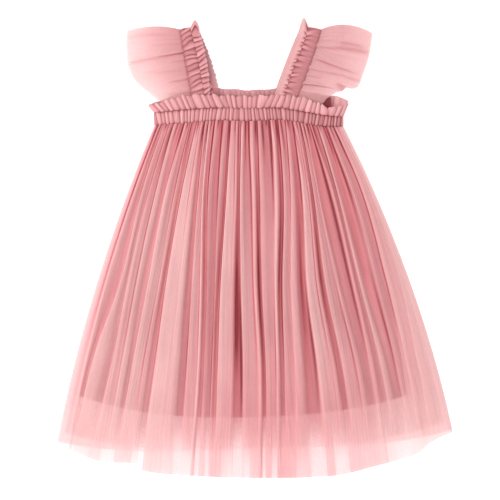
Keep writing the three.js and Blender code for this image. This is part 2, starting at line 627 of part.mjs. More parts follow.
export default dress;
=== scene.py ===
"""A toddler's tulle party dress, laid on its back on a white surface and seen from straight above.

X runs across the dress, Y from hem to shoulders and Z up. Sizes are in millimetres, and a mesh
gets its points in metres.
"""

import bpy
import numpy as np
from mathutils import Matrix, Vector


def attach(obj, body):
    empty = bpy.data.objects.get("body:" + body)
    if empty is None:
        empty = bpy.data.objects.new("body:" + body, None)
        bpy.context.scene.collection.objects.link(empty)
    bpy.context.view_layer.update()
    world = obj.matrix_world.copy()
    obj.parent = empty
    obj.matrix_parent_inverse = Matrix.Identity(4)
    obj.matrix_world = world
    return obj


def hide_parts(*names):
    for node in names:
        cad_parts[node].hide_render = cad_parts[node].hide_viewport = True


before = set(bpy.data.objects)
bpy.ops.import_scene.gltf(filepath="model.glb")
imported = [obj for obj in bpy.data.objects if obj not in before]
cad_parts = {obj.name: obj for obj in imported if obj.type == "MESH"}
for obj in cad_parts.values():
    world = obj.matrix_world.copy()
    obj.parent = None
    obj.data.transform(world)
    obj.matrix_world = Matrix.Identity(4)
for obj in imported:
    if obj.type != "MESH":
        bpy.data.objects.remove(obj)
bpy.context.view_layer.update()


# The surface, the light and the camera
# A white light table in an evenly lit room, with one large softbox above its left side, so that
# the right side is a little dimmer. The camera looks straight down, with the shoulders at the top.

MM = 0.001
VIEW_WIDTH = 550.0
VIEW_CENTRE = (-5.2, -0.2)
VIEW_HEIGHT = 8.0
LENS = 100.0
SENSOR = 36.0
TABLE_HALF = 3000.0
SOFTBOX_WATTS = 6.4
SOFTBOX_SIDE = 700.0
SOFTBOX_AT = (-780.0, 90.0, 860.0)
SOFTBOX_COLOUR = (1.0, 0.99, 0.98)
ROOM_COLOUR = (1.0, 0.985, 0.97, 1.0)
ROOM_STRENGTH = 0.94
TABLE_WHITE = (0.96, 0.96, 0.96, 1.0)
TABLE_GLOW = 0.35

scene = bpy.context.scene
scene.view_settings.view_transform = "Standard"
scene.cycles.transparent_max_bounces = 32

camera_data = bpy.data.cameras.new("camera")
camera_data.lens = LENS
camera_data.sensor_width = SENSOR
camera_data.clip_end = 100
camera = bpy.data.objects.new("camera", camera_data)
camera.location = (
    VIEW_CENTRE[0] * MM,
    VIEW_CENTRE[1] * MM,
    (VIEW_WIDTH * LENS / SENSOR + VIEW_HEIGHT) * MM,
)
scene.collection.objects.link(camera)
scene.camera = camera

softbox_data = bpy.data.lights.new("softbox", "AREA")
softbox_data.energy = SOFTBOX_WATTS
softbox_data.size = SOFTBOX_SIDE * MM
softbox_data.color = SOFTBOX_COLOUR
softbox = bpy.data.objects.new("softbox", softbox_data)
softbox.location = Vector(SOFTBOX_AT) * MM
softbox.rotation_euler = softbox.location.to_track_quat("Z", "Y").to_euler()
scene.collection.objects.link(softbox)

room = bpy.data.worlds.new("room")
room.use_nodes = True
background = room.node_tree.nodes["Background"]
background.inputs["Color"].default_value = ROOM_COLOUR
background.inputs["Strength"].default_value = ROOM_STRENGTH
scene.world = room


class Value:
    """One output of a shader node. Python's operators on it add Math nodes to the same tree."""

    def __init__(self, tree, socket):
        self.tree = tree
        self.socket = socket

    def maths(self, operation, *others):
        """A Math node on this value and the others."""
        return add_node(self.tree, "Math", {"operation": operation}, self, *others)

    def __add__(self, other):
        return self.maths("ADD", other)

    def __sub__(self, other):
        return self.maths("SUBTRACT", other)

    def __mul__(self, other):
        return self.maths("MULTIPLY", other)

    def __rsub__(self, other):
        return add_node(self.tree, "Math", {"operation": "SUBTRACT"}, other, self)

    __radd__ = __add__
    __rmul__ = __mul__


def add_node(tree, kind, settings, *ordered, out=0, **named):
    """Adds a node: first its settings, a ramp's stops among them, then its inputs in order or by
    name, with _ for a space, each a number, a colour or another node's value."""
    made = tree.nodes.new("ShaderNode" + kind)
    for key, setting in settings.items():
        if key == "stops":
            while len(made.color_ramp.elements) < len(setting):
                made.color_ramp.elements.new(0.5)
            for element, (place, colour) in zip(made.color_ramp.elements, setting):
                element.position = place
                element.color = (*colour, 1.0)
        else:
            setattr(made, key, setting)
    places = list(zip(made.inputs, ordered))
    places += [(made.inputs[key.replace("_", " ")], item) for key, item in named.items()]
    for place, item in places:
        if isinstance(item, Value):
            tree.links.new(item.socket, place)
        else:
            place.default_value = item
    return Value(tree, made.outputs[out]) if made.outputs else None


def new_material(name):
    """A material with an empty node tree."""
    material = bpy.data.materials.new(name)
    material.use_nodes = True
    material.node_tree.nodes.clear()
    return material, material.node_tree


def finish_material(material, **looks):
    """Ends a material with one surface that has these looks."""
    surface = add_node(material.node_tree, "BsdfPrincipled", {}, **looks)
    add_node(material.node_tree, "OutputMaterial", {}, surface)
    return material


def light_table():
    """Matt white acrylic, lit softly from below, a little uneven in gloss."""
    material, tree = new_material("light_table")
    place = add_node(tree, "TexCoord", {}, out="Object")
    haze = add_node(tree, "TexNoise", {}, Vector=place, Scale=18.0)
    return finish_material(
        material, Base_Color=TABLE_WHITE, Roughness=haze * 0.1 + 0.75, Specular_IOR_Level=0.1,
        Emission_Color=(1.0, 1.0, 1.0, 1.0), Emission_Strength=TABLE_GLOW,
    )


half = TABLE_HALF * MM
table_mesh = bpy.data.meshes.new("table")
table_corners = [(-half, -half, 0), (half, -half, 0), (half, half, 0), (-half, half, 0)]
table_mesh.from_pydata(table_corners, [], [(0, 1, 2, 3)])
table = bpy.data.objects.new("table", table_mesh)
table_mesh.materials.append(light_table())
scene.collection.objects.link(table)


# The back of the skirt
# The outer net of the skirt's back, lying on the table with low soft waves. It is one wide piece
# of fine net, gathered into the chest band, and its raw hem isn't turned.

GAP = 0.3
WALL = 1.0
BAND_LEFT = -111.0
BAND_RIGHT = 97.3
WAIST_SHIFT = 0.5
HEM_HALF_WIDTH = 218.6
SIDE_BULGE = (-10.0, 12.0)
HEM_LOW = -251.0
HEM_RISE = 44.0
HEM_BOW = 2.5
HEM_TILT = 6.6
LINING_END = 0.845
END_MARGIN = 0.005
END_FADE = 0.075
SIDE_FADE = 0.6
FULL_FOLDS = 0.17
SETTLED = 0.4


def named_rows(columns, *rows):
    """A table: the names of its columns once, and then a row for each section or fold."""
    return [dict(zip(columns.split(), row)) for row in rows]


# The chest across: lower and upper edge of the band, and the free edges of its frills, as Y.
CHEST = named_rows(
    "at low high front back",
    (0.0, 137.9, 151.0, 158.2, 159.0),
    (0.19, 140.5, 154.8, 169.6, 173.6),
    (0.34, 143.0, 156.4, 170.1, 177.2),
    (0.51, 142.3, 155.8, 169.1, 175.4),
    (0.66, 143.6, 156.4, 170.0, 177.0),
    (0.775, 140.5, 152.9, 167.2, 174.6),
    (0.87, 137.1, 149.2, 158.7, 170.2),
    (0.93, 136.5, 147.2, 156.4, 168.9),
    (1.0, 136.3, 146.3, 161.5, 164.2),
)

# Each layer's sides and hem, in shares of the skirt's width and length, and how high its waves
# lift what lies on it.
SKIRT_BACK = dict(lift=1.5, left=0.0, band_right=1.0, hem_right=1.0, hem=0.92, side_hem=0.995)

NET_CUT = (1180.0, 400.0)
NET_PITCH = 1.1
NET_CLEAR = 0.68
STEEPEST = 1.5

# Its waves, the plies and the tones of its net from the waves' valleys to their crests, the tones
# being painted shade in the valleys and painted light on the crests, and whether the uneven line
# of its hem is mirrored.
BACK_NET = dict(
    columns=240, rows=60, waves=11, height=1.0, drift=0.2, seed=0.4,
    plies=(0.8, 1.3), tones=(0.7, 0.95), mirrored=True,
)

# The skirt's net from the deepest crease to a crest. Its dark end is painted crease shade, and
# light that has passed more plies is redder.
SKIRT_SHADES = [
    (0.0, (0.28, 0.04, 0.05)),
    (0.25, (0.6, 0.175, 0.195)),
    (0.5, (0.75, 0.28, 0.3)),
    (0.8, (0.79, 0.375, 0.39)),
    (1.0, (0.83, 0.47, 0.47)),
]


def mix(a, b, t):
    """From a to b in a straight line, as t goes from 0 to 1."""
    return a + (b - a) * t


def ease(start, stop, x):
    """0 before start, 1 after stop, and a smooth step between them."""
    t = np.clip((x - start) / (stop - start), 0, 1)
    return t * t * (3 - 2 * t)


def within(start, full, leave, end, x):
    """0 outside start and end, 1 from full to leave, and smooth steps between them."""
    return ease(start, full, x) * ease(end, leave, x)


def through(places, values, t):
    """A smooth curve through values at places, read at t: cubic pieces whose slope at each place
    is that of the line between its neighbours."""
    places = np.asarray(places, float)
    values = np.asarray(values, float)
    slopes = np.empty_like(values)
    slopes[1:-1] = (values[2:] - values[:-2]) / (places[2:] - places[:-2])
    slopes[0] = (values[1] - values[0]) / (places[1] - places[0])
    slopes[-1] = (values[-1] - values[-2]) / (places[-1] - places[-2])
    k = np.clip(np.searchsorted(places, t, side="left") - 1, 0, len(places) - 2)
    span = places[k + 1] - places[k]
    s = np.clip((t - places[k]) / span, 0, 1)
    curve = mix(values[k], values[k + 1], s * s * (3 - 2 * s))
    return curve + s * (1 - s) ** 2 * span * slopes[k] + s * s * (s - 1) * span * slopes[k + 1]


def read(table, column, t):
    """One column of a table of sections, read at t."""
    return through([row["at"] for row in table], [row[column] for row in table], t)


def hem_line(u):
    """The hem as a smooth bow, lowest in the middle and a little higher at the right."""
    return HEM_LOW + HEM_RISE * np.abs(2 * u - 1) ** HEM_BOW + HEM_TILT * (2 * u - 1)


def waist_line(u):
    """Where the skirt starts, just below the band."""
    return read(CHEST, "low", u) - GAP


def skirt_plan(u, v):
    """X and Y of the skirt: u from its left side to its right one, v from the band to the hem.
    Straight lines from band to hem, whose sides bulge by a parabola in v."""
    bulge = mix(*SIDE_BULGE, u) * 4 * v * (1 - v)
    top_x = mix(BAND_LEFT, BAND_RIGHT, u) + WAIST_SHIFT
    x = mix(top_x, mix(-HEM_HALF_WIDTH, HEM_HALF_WIDTH, u), v) + bulge
    return x, mix(waist_line(u), hem_line(u), v)


def hem_of(layer, u):
    """A layer's hem as v: a parabola that is flat in the middle of the skirt."""
    return mix(layer["hem"], layer["side_hem"], (2 * u - 1) ** 2)


def right_of(layer, v):
    """A layer's right side as u: a straight line from band to hem."""
    return mix(layer["band_right"], layer["hem_right"], v)


def back_end(u):
    """The v where the back skirt ends under the front one."""
    return hem_of(SKIRT_BACK, u) + END_MARGIN


def above_hems(u, v):
    """1 above the linings' hem and 0 below the hem of the back skirt."""
    return np.clip((back_end(u) - v) / (back_end(u) - LINING_END), 0, 1)


def puff(u, v):
    """How high folds stand: low where they are held at the band and where they settle."""
    return np.clip(v / FULL_FOLDS, 0, 1) * mix(SETTLED, 1, above_hems(u, v))


def cover_of(layer, u, v):
    """How far a layer carries what lies on it: 1 on it, and sinking to 0 outside it."""
    left = np.clip(u / layer["left"], 0, 1) if layer["left"] else np.ones_like(u)
    right = right_of(layer, v)
    side = np.where(right < 1, (1 - u) / np.maximum(SIDE_FADE * (1 - right), 1e-6), 1)
    hem = above_hems(u, v) if layer["hem"] < LINING_END else 1 - (v - back_end(u)) / END_FADE
    return np.clip(np.minimum(np.minimum(left, side), hem), 0, 1)


def pile(layers, u, v):
    """The height at which a layer starts: the walls, gaps and waves of those under it."""
    return sum(cover_of(layer, u, v) * (WALL + GAP + layer["lift"] * puff(u, v)) for layer in layers)


def grid_piece(name, points, flat, material, marks, thickness=0.0, turned=False):
    """A sheet of cloth: a grid of points in millimetres, rows by columns, with a square between
    each four neighbours. Its face is on the side that the direction along a row, crossed with the
    one from row to row, points to, and turned takes the rows in reverse where that would be down.
    flat is the size of the cut, which the UV map holds in metres, and each mark is a number for
    every point."""
    if turned:
        points = points[::-1]
        marks = {mark: numbers[::-1] for mark, numbers in marks.items()}
    rows, columns = points.shape[:2]
    index = np.arange(rows * columns).reshape(rows, columns)
    corners = np.stack([index[:-1, :-1], index[:-1, 1:], index[1:, 1:], index[1:, :-1]], -1)
    corners = corners.reshape(-1, 4)
    mesh = bpy.data.meshes.new(name)
    mesh.vertices.add(rows * columns)
    mesh.vertices.foreach_set("co", (points * MM).astype(np.float32).ravel())
    mesh.loops.add(corners.size)
    mesh.loops.foreach_set("vertex_index", corners.astype(np.int32).ravel())
    mesh.polygons.add(len(corners))
    mesh.polygons.foreach_set("loop_start", np.arange(0, corners.size, 4, dtype=np.int32))
    mesh.polygons.foreach_set("use_smooth", np.ones(len(corners), bool))
    across = np.linspace(0, flat[0] * MM, columns)
    along = np.linspace(0, flat[1] * MM, rows)
    cut = np.stack(np.meshgrid(across, along), -1).reshape(-1, 2)[corners.ravel()]
    mesh.uv_layers.new(name="cut").data.foreach_set("uv", cut.astype(np.float32).ravel())
    for mark, numbers in marks.items():
        layer = mesh.attributes.new(mark, "FLOAT", "POINT")
        layer.data.foreach_set("value", numbers.astype(np.float32).ravel())
    mesh.update()
    mesh.validate()
    piece = bpy.data.objects.new(name, mesh)
    mesh.materials.append(material)
    scene.collection.objects.link(piece)
    if thickness:
        wall = piece.modifiers.new("cloth", "SOLIDIFY")
        wall.thickness = thickness * MM
        wall.offset = -1
    return piece


def net_cover(points, plies):
    """How much of the view net covers: each ply lets the same share of light through, and where
    the cloth is steep across, more threads lie in the same width."""
    step = np.gradient(points, axis=1)
    slope = np.abs(step[..., 2]) / np.maximum(np.hypot(step[..., 0], step[..., 1]), 1e-3)
    return 1 - NET_CLEAR ** (plies * np.sqrt(1 + np.minimum(slope, STEEPEST) ** 2))


def gathered(v):
    """How much closer the net lies at v than at the wide hem."""
    left, _ = skirt_plan(np.zeros_like(v), v)
    right, _ = skirt_plan(np.ones_like(v), v)
    return 2 * HEM_HALF_WIDTH / (right - left)


def mark_of(tree, mark):
    """A mark that the mesh holds on its points."""
    return add_node(tree, "Attribute", {"attribute_name": mark}, out="Fac")


def of_net(tree, streak_scale):
    """The cut, the net's holes on it, and streaks that are long one way and narrow the other."""
    cut = add_node(tree, "UVMap", {"uv_map": "cut"})
    cells = {"feature": "DISTANCE_TO_EDGE"}
    holes = add_node(tree, "TexVoronoi", cells, Vector=cut, Scale=1000 / NET_PITCH)
    along = add_node(tree, "Mapping", {}, Vector=cut, Scale=streak_scale)
    return cut, holes, add_node(tree, "TexNoise", {}, Vector=along, Scale=1.0, Detail=2.0)


def net_material(name, shades):
    """Fine six-sided net of soft polyester. How much it covers and how light it lies are marks on the
    points; the tone mark carries painted light and shade. Streaks along the cloth, its holes and its
    thicker threads vary the cover."""
    material, tree = new_material(name)
    cover, tone = mark_of(tree, "cover"), mark_of(tree, "tone")
    cut, holes, streaks = of_net(tree, (240.0, 7.0, 1.0))
    cloudy = add_node(tree, "TexNoise", {}, Vector=cut, Scale=26.0, Detail=3.0)
    threads = 1.12 - holes * 0.5
    alpha = cover * threads * (streaks * 0.16 + 0.92) * (cloudy * 0.24 + 0.88)
    shade = add_node(tree, "ValToRGB", {"stops": shades}, Fac=tone + streaks * 0.12 - 0.06)
    return finish_material(
        material, Base_Color=shade, Roughness=0.9, Alpha=alpha.maths("MINIMUM", 1.0),
        Specular_IOR_Level=0.15, Sheen_Weight=0.12,
    )


def layer_grid(layer, columns, rows):
    """u and v on a grid over a layer, and the share of its width: v runs to the layer's own hem,
    and u between its own sides at that v."""
    share, down = np.meshgrid(np.linspace(0, 1, columns), np.linspace(0, 1, rows))
    v = down * hem_of(layer, mix(layer["left"], layer["hem_right"], share))
    return mix(layer["left"], right_of(layer, v), share), v, share


def soft_waves(share, v, count, drift, seed):
    """Uneven waves between 0 and 1 across the cloth: a cosine whose turns are pushed to and fro
    by slower sines, and whose heights vary along and across."""
    turns = count * share + 0.34 * np.sin(7.1 * share + seed) + drift * np.sin(2.6 * v + 9.3 * share + seed)
    heights = 0.72 + 0.28 * np.sin(2.3 * count * share + 3.1 * v + 2 * seed)
    return (0.5 - 0.5 * np.cos(2 * np.pi * turns)) * heights


def thinned(share, v):
    """1 over most of a layer, and less along its raw hem by an uneven line, most in the middle."""
    uneven_line = 0.015 * np.sin(31 * share) + 0.01 * np.sin(73 * share)
    return 1 - 0.8 * ease(0.9, 1.0, v / v[-1] + uneven_line) * within(0, 0.3, 0.7, 1, share)


def side_taper(share):
    """0 at both sides of a layer and 1 from a little way in."""
    return within(0, 0.05, 0.95, 1, share)


def net_layer(name, layer, net, below, material):
    """A layer of net that lies in low soft waves on the layers below, closer on their crests, with
    painted light on the crests and painted shade in the valleys. It thins out along its hem by an
    uneven line."""
    u, v, share = layer_grid(layer, net["columns"], net["rows"])
    x, y = skirt_plan(u, v)
    wave = soft_waves(share, v, net["waves"], net["drift"], net["seed"]) * side_taper(share)
    z = pile(below, u, v) + WALL / 2 + layer["lift"] * puff(u, v) * net["height"] * wave
    points = np.stack([x, y, z], -1)
    thin = thinned(1 - share if net["mirrored"] else share, v)
    plies = gathered(v) * mix(*net["plies"], wave) * thin
    # The tone is painted light on the wave crests and painted shade in the valleys.
    marks = {"cover": net_cover(points, plies), "tone": mix(*net["tones"], wave)}
    return grid_piece(name, points, NET_CUT, material, marks, turned=True)


def lay(piece, node):
    """Puts a finished piece of cloth in its node's place."""
    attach(piece, "root")
    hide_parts(node)


back_material = net_material("back_net", SKIRT_SHADES)
skirt_back = net_layer("skirt_back_net", SKIRT_BACK, BACK_NET, [], back_material)
lay(skirt_back, "skirt_back")


# The lining
# A plain A-line underdress of opaque cotton knit, front and back. Its hem is turned up once and
# held by a narrow row of stitching, and it ends well above the net's hem.

# As for the back of the skirt, with how many waves each panel lies in.
LINING_BACK = dict(lift=0.3, left=0.03, band_right=0.97, hem_right=0.895, hem=0.81, side_hem=0.81, waves=1)
LINING_FRONT = dict(lift=1.2, left=0.03, band_right=0.97, hem_right=0.895, hem=0.83, side_hem=0.835, waves=5)

LINING_FACE = (0.62, 0.23, 0.28)
LINING_HEM = (0.44, 0.13, 0.17)
LINING_HEM_TURN = 11.0
LINING_LENGTH = 375.0
STITCHES_IN = 1.5
TURNED_TONE = 0.35
LINING_CUT = (372.0, 330.0)
KNIT_PITCH = 1.4
KNIT_WALL = 0.8


def knit_material():
    """Single jersey: rows of small loops as bump, a little uneven in tone, darker at its hem."""
    material, tree = new_material("lining_knit")
    cut = add_node(tree, "UVMap", {"uv_map": "cut"})
    hem = mark_of(tree, "hem")
    bands = {"wave_type": "BANDS", "bands_direction": "X"}
    ribs = add_node(tree, "TexWave", bands, Vector=cut, Scale=50 / KNIT_PITCH)
    cloudy = add_node(tree, "TexNoise", {}, Vector=cut, Scale=40.0, Detail=4.0)
    stops = [(0.0, LINING_FACE), (1.0, LINING_HEM)]
    face = add_node(tree, "ValToRGB", {"stops": stops}, Fac=hem * 0.6 + cloudy * 0.2)
    bump = add_node(tree, "Bump", {}, Height=ribs, Strength=0.25, Distance=0.0003)
    return finish_material(
        material, Base_Color=face, Roughness=0.9, Normal=bump, Specular_IOR_Level=0.2,
    )


def lining(name, layer, below, material):
    """A lining panel: u and v over its own outline, lying on what is under it with soft waves,
    and a turned hem a little thicker than the cloth above it."""
    u, v, share = layer_grid(layer, columns=240, rows=110)
    x, y = skirt_plan(u, v)
    wave = soft_waves(share, v, layer["waves"], drift=0.3, seed=2.1) * side_taper(share)
    above_hem = (v[-1] - v) * LINING_LENGTH
    turned = ease(LINING_HEM_TURN + 1.0, LINING_HEM_TURN - 0.5, above_hem)
    z = pile(below, u, v) + WALL + layer["lift"] * puff(u, v) * 0.85 * wave + 0.2 * turned
    stitched = ease(1.4, 0.3, np.abs(above_hem - LINING_HEM_TURN + STITCHES_IN))
    edge = ease(2.5, 0.2, above_hem)
    marks = {"hem": np.maximum(np.maximum(stitched, edge), TURNED_TONE * turned)}
    points = np.stack([x, y, z], -1)
    return grid_piece(name, points, LINING_CUT, material, marks, KNIT_WALL, turned=True)


knit = knit_material()
lining_back = lining("lining_back_knit", LINING_BACK, [SKIRT_BACK], knit)
lining_front = lining("lining_front_knit", LINING_FRONT, [SKIRT_BACK, LINING_BACK], knit)
lay(lining_back, "lining_back")
lay(lining_front, "lining_front")


# The underskirt
# A second layer of the same net under the front of the skirt, gathered with it into the band and
# cut a little shorter, so that its hem shows through the outer net as a soft denser edge.

UNDERSKIRT = dict(lift=3.0, left=0.015, band_right=0.985, hem_right=0.985, hem=0.92, side_hem=0.96)
# Its tones are painted shade in the valleys and painted light on the crests, as for the back.
UNDERSKIRT_NET = dict(
    columns=420, rows=90, waves=17, height=0.9, drift=0.22, seed=5.2,
    plies=(0.6, 1.5), tones=(0.6, 0.9), mirrored=False,
)

under = [SKIRT_BACK, LINING_BACK, LINING_FRONT]
under_material = net_material("underskirt_net", SKIRT_SHADES)
underskirt = net_layer("underskirt_net", UNDERSKIRT, UNDERSKIRT_NET, under, under_material)
lay(underskirt, "underskirt_front")


# The front of the skirt
# The outer net, gathered into the band and laid in long soft folds whose left edges are crisp.
# Its hem is a raw cut, uneven where the folds lie over each other.

SEWN_IN = 1.1
FOLD_COLUMNS = 10
SKIRT_ROWS = 150
ROWS_CROWD = 1.15
FALL_CROWDS = 1.3
RISE_CROWDS = 1.5
FLAT_TOP = 1.6
STEEP_EDGE = 4
# The crisp mark on a crest (more plies and a painted highlight) and the painted shadow at its foot.
CREST_WIDTH = 0.16
CREST_START = 0.86
FOOT_AT = 0.74
FOOT_WIDTH = 0.13
FINE_CREASE = 0.17
DEEPEST_CREASE = -0.25
GATHERS = 43
GATHER_PUFF = 1.8
GATHER_LENGTH = (0.03, 0.2)
LINING_SEEN = (0.78, 0.91)

# Plies of net: on flat cloth, how many more lie on a fold's top, in a valley, along a crest's crisp
# edge over the lining and below it, and over the underskirt's hem, and those at the skirt's sides.
PLIES_FLAT = 1.3
PLIES_ON_TOP = 1.6
PLIES_IN_VALLEY = 2.2
PLIES_AT_CREST = 0.8
PLIES_AT_CREST_ALONE = 0.3
PLIES_OVER_HEM = 1.3
PLIES_AT_SIDES = (1.2, 1.0)

# Painted light and shade on the front net. The level from which net is as light as on a crest.
# How much painted highlight a crisp crest gets, and how much lighter one fold is than the next.
# How much painted shade darkens the left and the right near the band. The painted shade in the
# slits between gathers, and how nearly it is reached. How dark the painted shadow at the foot
# beside a crest is at the band, in the body, and how much darker where the fold there opens.
FULL_LIGHT = 0.62
CREST_HIGHLIGHT = 0.06
FOLDS_APART = 0.1
LEFT_SHADE = 0.24
RIGHT_SHADE = 0.12
SLIT_SHADE = -0.3
SLIT_SHARE = 0.85
FOOT_SHADE = 0.75
FOOT_SHADE_BODY = 0.15
FOOT_SHADE_OPEN = 0.6

# Painted light and shade on the front net across the skirt: how light it lies in the folds' valleys,
# painted darkest where they are packed closest, on their crests, and where no lining is under it,
# each darkest in the middle of the skirt.
SHADE = named_rows(
    "at valley crest free",
    (0.0, 0.62, 1.0, 1.0),
    (0.2, 0.55, 1.05, 0.95),
    (0.34, 0.2, 0.95, 0.8),
    (0.5, -0.05, 0.86, 0.62),
    (0.7, 0.12, 0.9, 0.68),
    (0.85, 0.3, 0.94, 0.95),
    (1.0, 0.5, 1.0, 1.0),
)

# The hem from the left corner to the right one.
HEM = named_rows(
    "at y",
    (0.0, -213.6),
    (0.076, -228.5),
    (0.12, -234.2),
    (0.198, -236.2),
    (0.216, -243.2),
    (0.3, -248.4),
    (0.489, -252.1),
    (0.7, -249.5),
    (0.795, -239.8),
    (0.906, -225.3),
    (0.946, -211.6),
    (1.0, -200.4),
)

# The folds' crests and valleys by turns, from the left: the line that each follows, in percent of
# the width at PLACES down the skirt, how high it stands at LEVELS down it, and how many plies of
# net lie between it and the next one at the hem. FULL_HEIGHTS is what a level of 1 stands for.
PLACES = [0, 0.2, 0.45, 0.7, 1]
LEVELS = [0, 0.45, 1]
FULL_HEIGHTS = [1.8, 6.5, 4.0]
FOLDS = named_rows(
    "line level plies",
    ([3.0, 3.0, 3.0, 3.0, 3.0], [0.5, 0.4, 0.4], 1.6),
    ([4.4, 4.8, 6.4, 4.2, 3.7], [0.1, 0, 0.1], 1.3),
    ([5.3, 5.8, 7.4, 5.0, 4.4], [0.4, 0.6, 0.3], 1.7),
    ([7.0, 7.4, 8.8, 9.2, 8.0], [0.1, 0.2, 0.1], 2.1),
    ([8.2, 8.7, 9.6, 10.1, 8.9], [0.4, 0.7, 0.5], 2.1),
    ([9.3, 9.9, 11.0, 11.6, 11.0], [0.2, 0.45, 0.3], 1.3),
    ([10.5, 11.5, 12.3, 12.8, 12.4], [0.5, 0.5, 0.4], 1.3),
    ([13.2, 14.4, 14.7, 15.0, 14.4], [0, 0, 0.15], 2.3),
    ([16.4, 15.2, 16.1, 15.8, 15.3], [0.6, 0.65, 0.4], 2.3),
    ([18.0, 17.6, 18.0, 17.6, 17.3], [0, 0.4, 0.3], 2.3),
    ([19.3, 19.2, 19.6, 19.0, 18.6], [0.45, 0.5, 0.4], 1.2),
    ([21.4, 21.0, 21.0, 20.8, 20.3], [0.1, 0, 0.1], 1.0),
    ([22.8, 22.0, 21.9, 22.2, 21.6], [0.5, 0.85, 0.6], 2.5),
    ([23.8, 23.6, 24.0, 24.2, 24.0], [0.4, 0.72, 0.5], 2.3),
    ([24.8, 25.4, 26.3, 26.8, 26.4], [0.5, 0.78, 0.5], 1.8),
    ([26.0, 27.7, 28.9, 29.5, 29.3], [0, 0.1, 0.15], 1.3),
    ([27.1, 28.7, 30.3, 31.2, 31.4], [0.5, 0.6, 0.4], 1.3),
    ([28.0, 29.5, 31.6, 32.6, 32.5], [0.3, 0.5, 0.35], 1.3),
    ([29.0, 30.4, 33.0, 34.2, 33.7], [0.5, 0.8, 0.5], 2.8),
    ([30.4, 31.3, 33.8, 35.0, 34.6], [0, 0, 0.1], 1.3),
    ([32.4, 32.9, 35.3, 36.0, 35.8], [0.5, 0.4, 0.4], 2.1),
    ([34.8, 35.2, 36.8, 37.3, 37.3], [0, 0.15, 0.2], 1.3),
    ([36.4, 37.1, 37.8, 38.2, 38.3], [0.55, 0.3, 0.3], 2.3),
    ([39.2, 39.3, 38.8, 39.0, 39.2], [0, 0, 0.1], 2.3),
    ([40.7, 40.3, 39.7, 39.9, 40.2], [0.5, 0.85, 0.6], 2.3),
    ([42.0, 42.0, 41.5, 41.6, 41.6], [0.4, 0.65, 0.45], 1.6),
    ([43.2, 43.7, 43.2, 43.4, 43.2], [0.55, 0.75, 0.5], 1.3),
    ([44.6, 44.7, 44.5, 44.7, 44.7], [0.3, 0, 0.1], 1.3),
    ([46.2, 45.8, 46.4, 47.2, 47.0], [0.6, 0.6, 0.4], 1.3),
    ([48.0, 47.4, 48.2, 48.8, 48.8], [0, 0.5, 0.3], 2.1),
    ([50.2, 51.1, 50.8, 51.7, 51.0], [0.6, 0.95, 0.6], 2.5),
    ([53.2, 52.6, 51.9, 52.6, 52.0], [0.1, 0, 0.1], 1.3),
    ([54.8, 53.9, 53.2, 53.6, 52.9], [0.5, 0.8, 0.5], 2.5),
    ([56.9, 56.4, 55.3, 55.2, 54.4], [0.15, 0.55, 0.35], 1.3),
    ([62.0, 60.2, 57.6, 56.6, 55.7], [0.6, 0.85, 0.5], 2.8),
    ([63.6, 62.0, 58.6, 57.7, 56.9], [0, 0, 0.2], 2.8),
    ([65.8, 63.6, 60.0, 58.9, 58.2], [0.5, 0.7, 0.4], 2.8),
    ([67.4, 65.0, 61.4, 60.3, 59.3], [0.35, 0.5, 0.35], 2.8),
    ([69.6, 66.5, 62.9, 61.9, 60.5], [0.5, 0.85, 0.6], 1.9),
    ([71.2, 68.9, 65.8, 65.2, 64.5], [0.1, 0, 0.1], 1.3),
    ([73.4, 71.2, 67.9, 68.4, 68.4], [0.6, 0.9, 0.5], 2.5),
    ([74.4, 72.4, 69.6, 70.4, 70.6], [0.4, 0.6, 0.35], 1.3),
    ([75.4, 73.6, 71.2, 72.4, 72.8], [0.5, 0.7, 0.4], 1.3),
    ([76.4, 74.6, 72.3, 73.6, 74.2], [0.2, 0, 0.25], 2.3),
    ([77.3, 75.6, 73.8, 75.2, 75.8], [0.5, 0.6, 0.4], 2.3),
    ([78.2, 76.4, 75.5, 77.0, 77.4], [0.4, 0.45, 0.3], 2.3),
    ([79.2, 77.2, 77.4, 79.0, 79.2], [0.5, 0.5, 0.3], 2.3),
    ([80.4, 78.4, 78.8, 80.4, 80.6], [0, 0.1, 0.2], 2.3),
    ([82.4, 83.2, 82.7, 82.9, 82.5], [0.6, 0.65, 0.4], 2.3),
    ([84.2, 84.2, 83.6, 84.0, 83.7], [0.1, 0.2, 0.2], 1.6),
    ([86.4, 85.4, 84.7, 85.6, 85.6], [0.5, 0.55, 0.3], 1.3),
    ([88.4, 86.9, 86.3, 87.6, 87.6], [0, 0, 0.2], 1.3),
    ([91.0, 91.5, 90.0, 89.8, 89.4], [0.45, 0.4, 0.3], 1.4),
    ([93.0, 93.2, 91.6, 91.1, 90.7], [0.2, 0.25, 0.2], 1.6),
    ([95.2, 95.5, 93.4, 92.6, 92.0], [0.5, 0.6, 0.4], 1.7),
    ([96.8, 97.0, 95.4, 93.9, 93.3], [0.2, 0.3, 0.1], 1.8),
    ([98.2, 98.4, 97.6, 95.6, 94.8], [0.3, 0.3, 0.4], 1.8),
    ([99.2, 99.3, 98.8, 98.0, 97.4], [0.1, 0.1, 0.1], 1.7),
)


def fold_lines(v):
    """Every crest and valley line of the table at each v, as shares of the width, with the height
    share of each: arrays of rows by lines, with the skirt's two sides as first and last line."""
    lines = [np.zeros_like(v)] + [through(PLACES, fold["line"], v) / 100 for fold in FOLDS]
    heights = [np.zeros_like(v)] + [through(LEVELS, fold["level"], v) for fold in FOLDS]
    return np.stack(lines + [np.ones_like(v)], 1), np.stack(heights + [np.zeros_like(v)], 1)


def across_folds(at_lines, blend):
    """What holds at the lines, blended over the strip from each line to the next, as one row of
    columns for each row of lines, with the last line as its last column."""
    blended = mix(at_lines[:, :-1, None], at_lines[:, 1:, None], blend)
    return np.concatenate([blended.reshape(len(at_lines), -1), at_lines[:, -1:]], 1)


def for_columns(strips, last):
    """The columns of all strips one after another, and then the one at the skirt's right side."""
    return np.append(np.broadcast_to(strips, (len(FOLDS) + 1, FOLD_COLUMNS)).ravel(), last)


